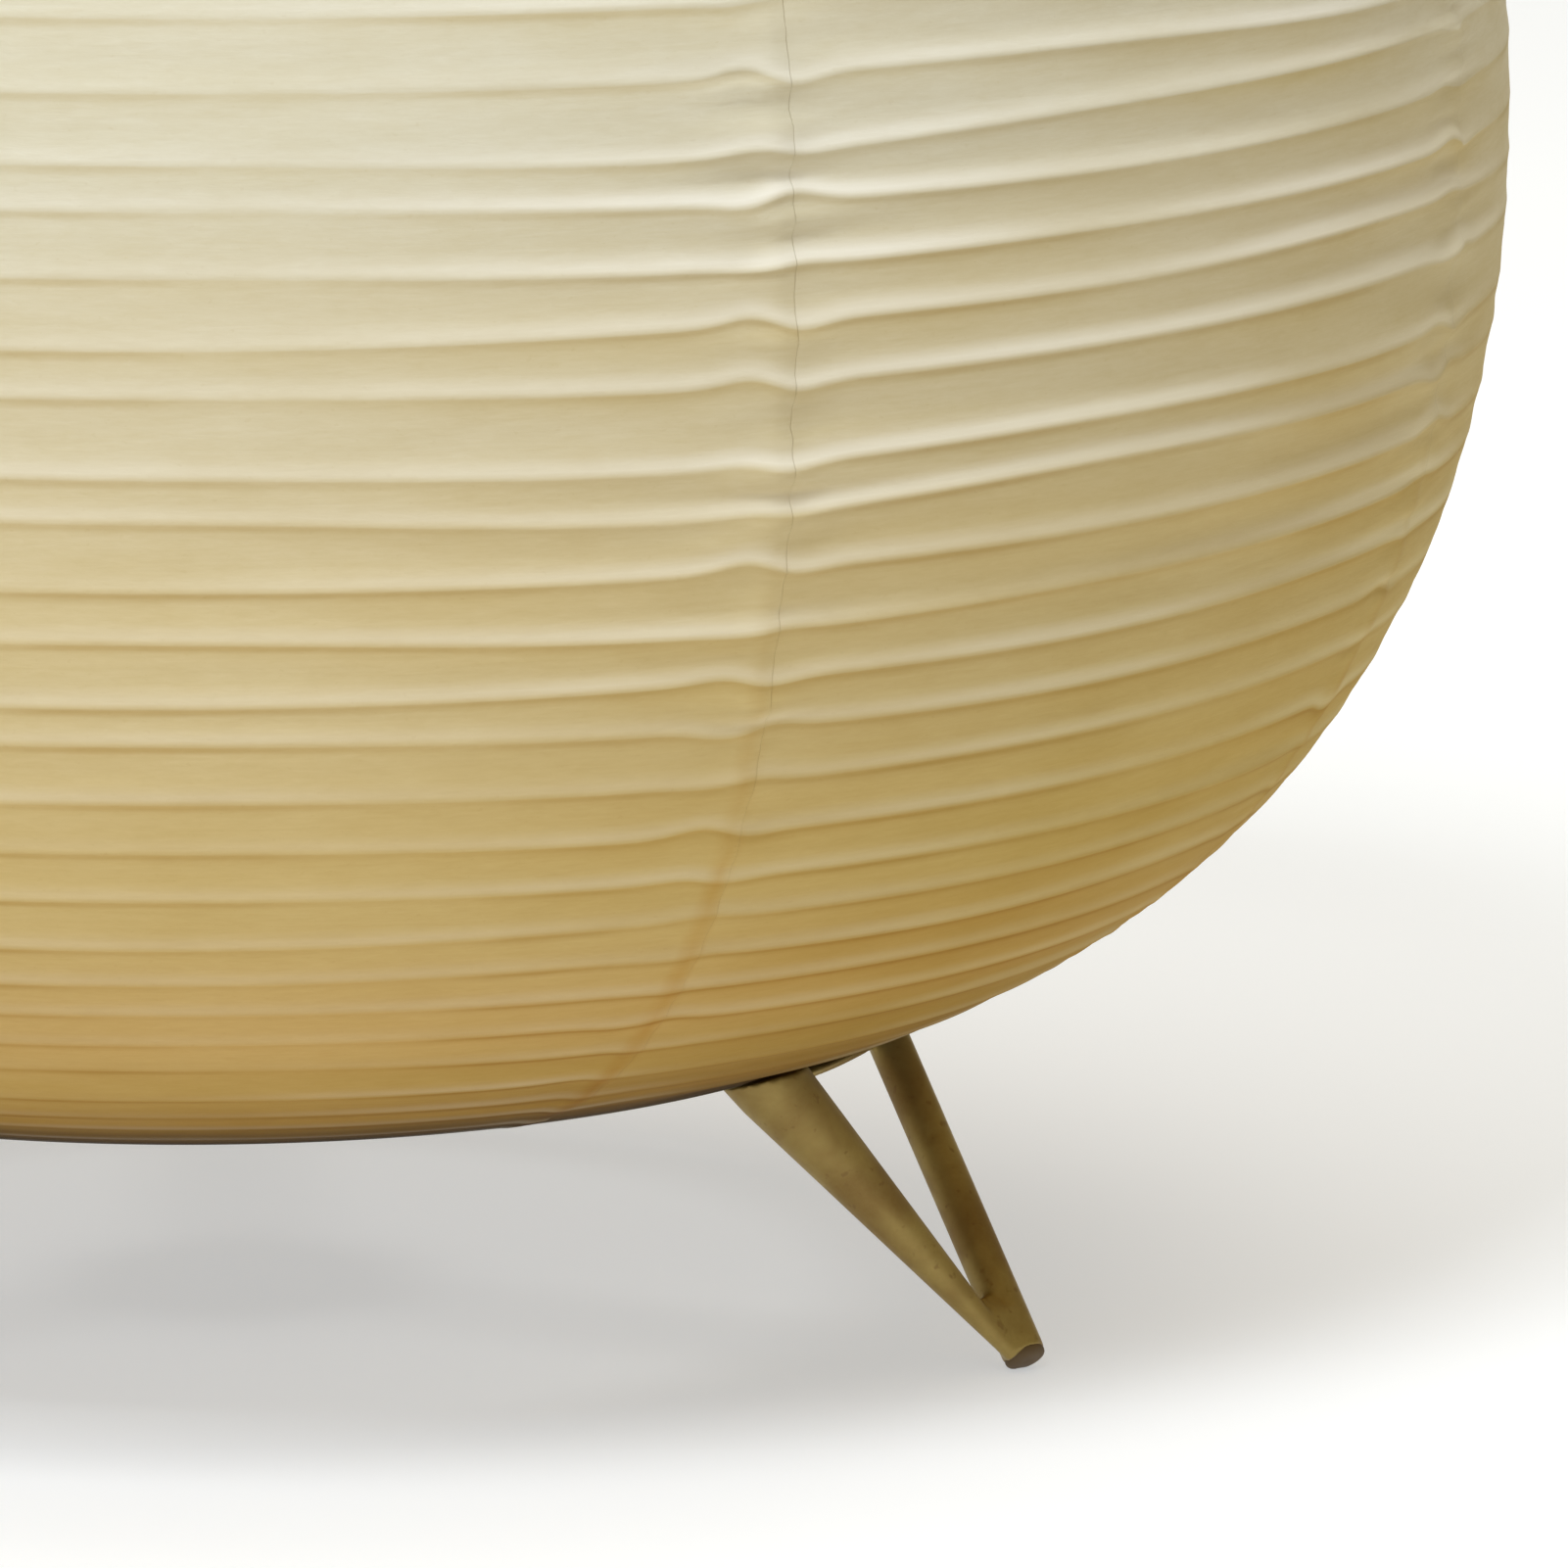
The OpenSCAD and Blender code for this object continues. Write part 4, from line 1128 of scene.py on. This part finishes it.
skirt = rounded([(17.8, 0), (20, 0), (26, 2.9), (26, 4.9), (19.7, 4.9)], [0.3, 0.5, 0.5, 0.5, 0.2], closed=False)
skirt += [(19.7, zz) for zz in np.arange(5.2, 36.3, 0.3)] + rounded([(19.7, 36.4), (19.0, 37.1), (17.8, 37.1)], [0, 0.4, 0], closed=False)
lathe("holder_skirt_fine", skirt, "holder_white", "base", ("holder_skirt",), 96, z0=HZ + 21.1, wave=skirt_thread)

PIT = 3.62
shell = [(13.6, zz) for zz in np.arange(0.6, 26.01, 0.3)]
shell_out = [(14.2, zz) for zz in np.arange(26.0, -0.01, -0.3)]
lathe("screw_shell_fine", [(7, 0.6)] + shell + shell_out + [(7, 0)], "contact_brass", "base", ("screw_shell",), 72, z0=HZ + 28.8,
      wave=lambda a, r, z: (0.28 * (math.cos(2 * math.pi * z / PIT - a) + 1) - 0.5) * min(1, max(0, (z - 2) / 3)) if r > 13 else 0)

# ------------------------------------------------------------------ harp
RZ = HZ + 26.05
LOW = RZ + 1.3 + 1.6
HARP_TOP = HOOP_TOP - 6.5
lathe("harp_ring", rounded([(19.8, 0), (31, 0), (31, 1.5), (19.8, 1.5)], 0.35), "brass_small", "base", ("harp",), 96, z0=RZ)
path = [(26.6, 0, LOW), (30, 0, LOW)]
path += [(33 + 27 * math.sin(t), 0, LOW + 27 - 27 * math.cos(t)) for t in np.linspace(0, math.pi / 2, 24)]
path += [(60, 0, zz) for zz in np.linspace(LOW + 27, HARP_TOP - 60, 24)[1:-1]]
path += [(60 * math.cos(t), 0, HARP_TOP - 60 + 60 * math.sin(t)) for t in np.linspace(0, math.pi, 73)]
path += [(-x, y, zz) for x, y, zz in reversed(path[: 2 + 24 + 22])]
tube("harp_wire", path, 1.6, "brass_small", "base", (), 20)

pin = [(0, HARP_TOP - 2.6), (4.1, HARP_TOP - 2.6), (4.4, HARP_TOP - 2.3), (4.4, HOOP_TOP - 2.0), (4.1, HOOP_TOP - 1.7), (3.0, HOOP_TOP - 1.7), (3.0, HARP_TOP + 8)]
pin += [(3 * math.cos(t), HARP_TOP + 8 + 3 * math.sin(t)) for t in np.linspace(0, math.pi / 2, 12)[1:-1]] + [(0, HARP_TOP + 11)]
lathe("harp_pin_fine", pin, "brass_small", "base", ("harp_pin",), 48, closed=False)

# ------------------------------------------------------------------ bulb
BZ = 182.0
lathe("bulb_tip", rounded([(0, 0), (2.4, 0), (4, 0.5), (4.6, 1.2), (4.6, 1.8), (0, 1.8)], [0, 0.6, 0.6, 0.3, 0.1, 0], closed=False), "solder",
      "bulb_thread", ("bulb_contact",), 48, closed=False, z0=BZ)
lathe("bulb_insulator_fine", rounded([(0, 0), (5, 0), (10.2, 3.2), (10.2, 4.2), (0, 4.2)], [0, 0.5, 0.6, 0.2, 0], closed=False), "black_plastic",
      "bulb", ("bulb_insulator",), 64, closed=False, z0=BZ + 1.9)
cap_out = [(11.8, 6.25), (12.3, 6.9)] + [(12.6, zz) for zz in np.arange(7.2, 26.4, 0.24)] + [(12.9, 27.0), (13.1, 27.4)]
cap_in = [(12.4, 27.4), (11.4, 26), (11.4, 6.2)]
lathe("bulb_cap_fine", cap_out + cap_in, "nickel", "bulb", ("bulb_cap",), 96, z0=BZ,
      wave=lambda a, r, z: 0.5 * math.cos(2 * math.pi * z / PIT - a) * max(0, min(1, (z - 7) / 2, (26 - z) / 2)) if 12.5 < r < 12.7 else 0)
house = [(12.6, 27.5), (14, 27.5), (15.2, 30), (17, 36), (20.2, 46), (24.2, 57), (27.2, 65), (28.8, 71.5), (27.2, 71.5), (25.4, 65), (22.2, 57),
         (18.2, 46), (15, 36), (12.6, 31)]
lathe("bulb_housing_fine", rounded(house, [0.2, 0.5, 3, 8, 12, 12, 12, 0.4, 0.4, 5, 5, 5, 5, 2], steps=6), "bulb_white", "bulb", ("bulb_housing",), 96, z0=BZ)
refine("led_board", "led_aluminium", "bulb", 0.12)
dome, dome_in = [], []
c0 = 80.0
zc = -(c0 - 71.6)
t0 = math.asin(zc / 30.0)
for t in np.linspace(t0, math.pi / 2, 40):
    dome.append((max(30 * math.cos(t), 0.0), c0 + 30 * math.sin(t)))
t1 = math.asin(zc / 28.6)
for t in np.linspace(math.pi / 2, t1, 30):
    dome_in.append((max(28.6 * math.cos(t), 0.0), c0 + 28.6 * math.sin(t)))
dome[-1], dome_in[0] = (0.0, dome[-1][1]), (0.0, dome_in[0][1])
lathe("bulb_dome", dome + dome_in, "bulb_opal", "bulb", ("bulb_globe",), 96, closed=True, z0=BZ)

# ------------------------------------------------------------------ floor and light
fm, nt, b = new_mat("floor")
n = N(nt)
v = n.noise(n.coord(), 3.0, 3.0, 0.5)
n.put(b.inputs["Base Color"], n.mix(n.range(v, 0.3, 0.7, 0, 0.4), (0.57, 0.555, 0.53), (0.56, 0.545, 0.52)))
b.inputs["Emission Color"].default_value = (0.92, 0.96, 1.0, 1)
b.inputs["Emission Strength"].default_value = 0.48
n.put(b.inputs["Roughness"], n.range(v, 0.3, 0.7, 0.62, 0.72))
b.inputs["Specular IOR Level"].default_value = 0.2
fme = from_arrays("floor", [(-14, -14, 0), (14, -14, 0), (14, 14, 0), (-14, 14, 0)], [(0, 1, 2, 3)])
floor = bpy.data.objects.new("floor", fme)
bpy.context.scene.collection.objects.link(floor)
fme.materials.append(fm)

world = bpy.data.worlds.new("studio")
bpy.context.scene.world = world
world.use_nodes = True
bg = world.node_tree.nodes["Background"]
# warm from above, and pale near the horizon like the floor
wn_ = N(world.node_tree)
z_ = wn_.node("ShaderNodeSeparateXYZ")
wn_.put(z_.inputs[0], wn_.node("ShaderNodeTexCoord").outputs["Generated"])
wn_.put(bg.inputs[0], wn_.mix(wn_.range(z_.outputs[2], 0.07, 0.20, 0, 1, True), (0.60, 0.592, 0.575), (0.29, 0.243, 0.137)))
bg.inputs[1].default_value = 1.0


def area(name, loc, target, size, power, colour=(1, 1, 1)):
    d = bpy.data.lights.new(name, "AREA")
    d.shape = "RECTANGLE"
    d.size, d.size_y = size
    d.energy = power
    d.color = colour
    o = bpy.data.objects.new(name, d)
    bpy.context.scene.collection.objects.link(o)
    o.location = loc
    o.rotation_mode = "QUATERNION"
    o.rotation_quaternion = (Vector(target) - Vector(loc)).to_track_quat("-Z", "Y")
    return o


area("key", (-0.80, -1.98, 2.75), (0, 0, 0.25), (1.1, 1.1), 108, (0.81, 0.89, 1.0))
area("overhead", (0.2, 0.6, 3.2), (0, 0, 0), (3.5, 3.5), 74, (0.90, 0.94, 1.0))

pt = bpy.data.lights.new("bulb_light", "POINT")
pt.energy, pt.color, pt.shadow_soft_size = 0.15, (1.0, 0.76, 0.46), 0.03
po = bpy.data.objects.new("bulb_light", pt)
bpy.context.scene.collection.objects.link(po)
po.location = (0, 0, 0.33)
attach(po, "bulb")

sc = bpy.context.scene
sc.view_settings.view_transform = "Standard"
sc.view_settings.look = "None"
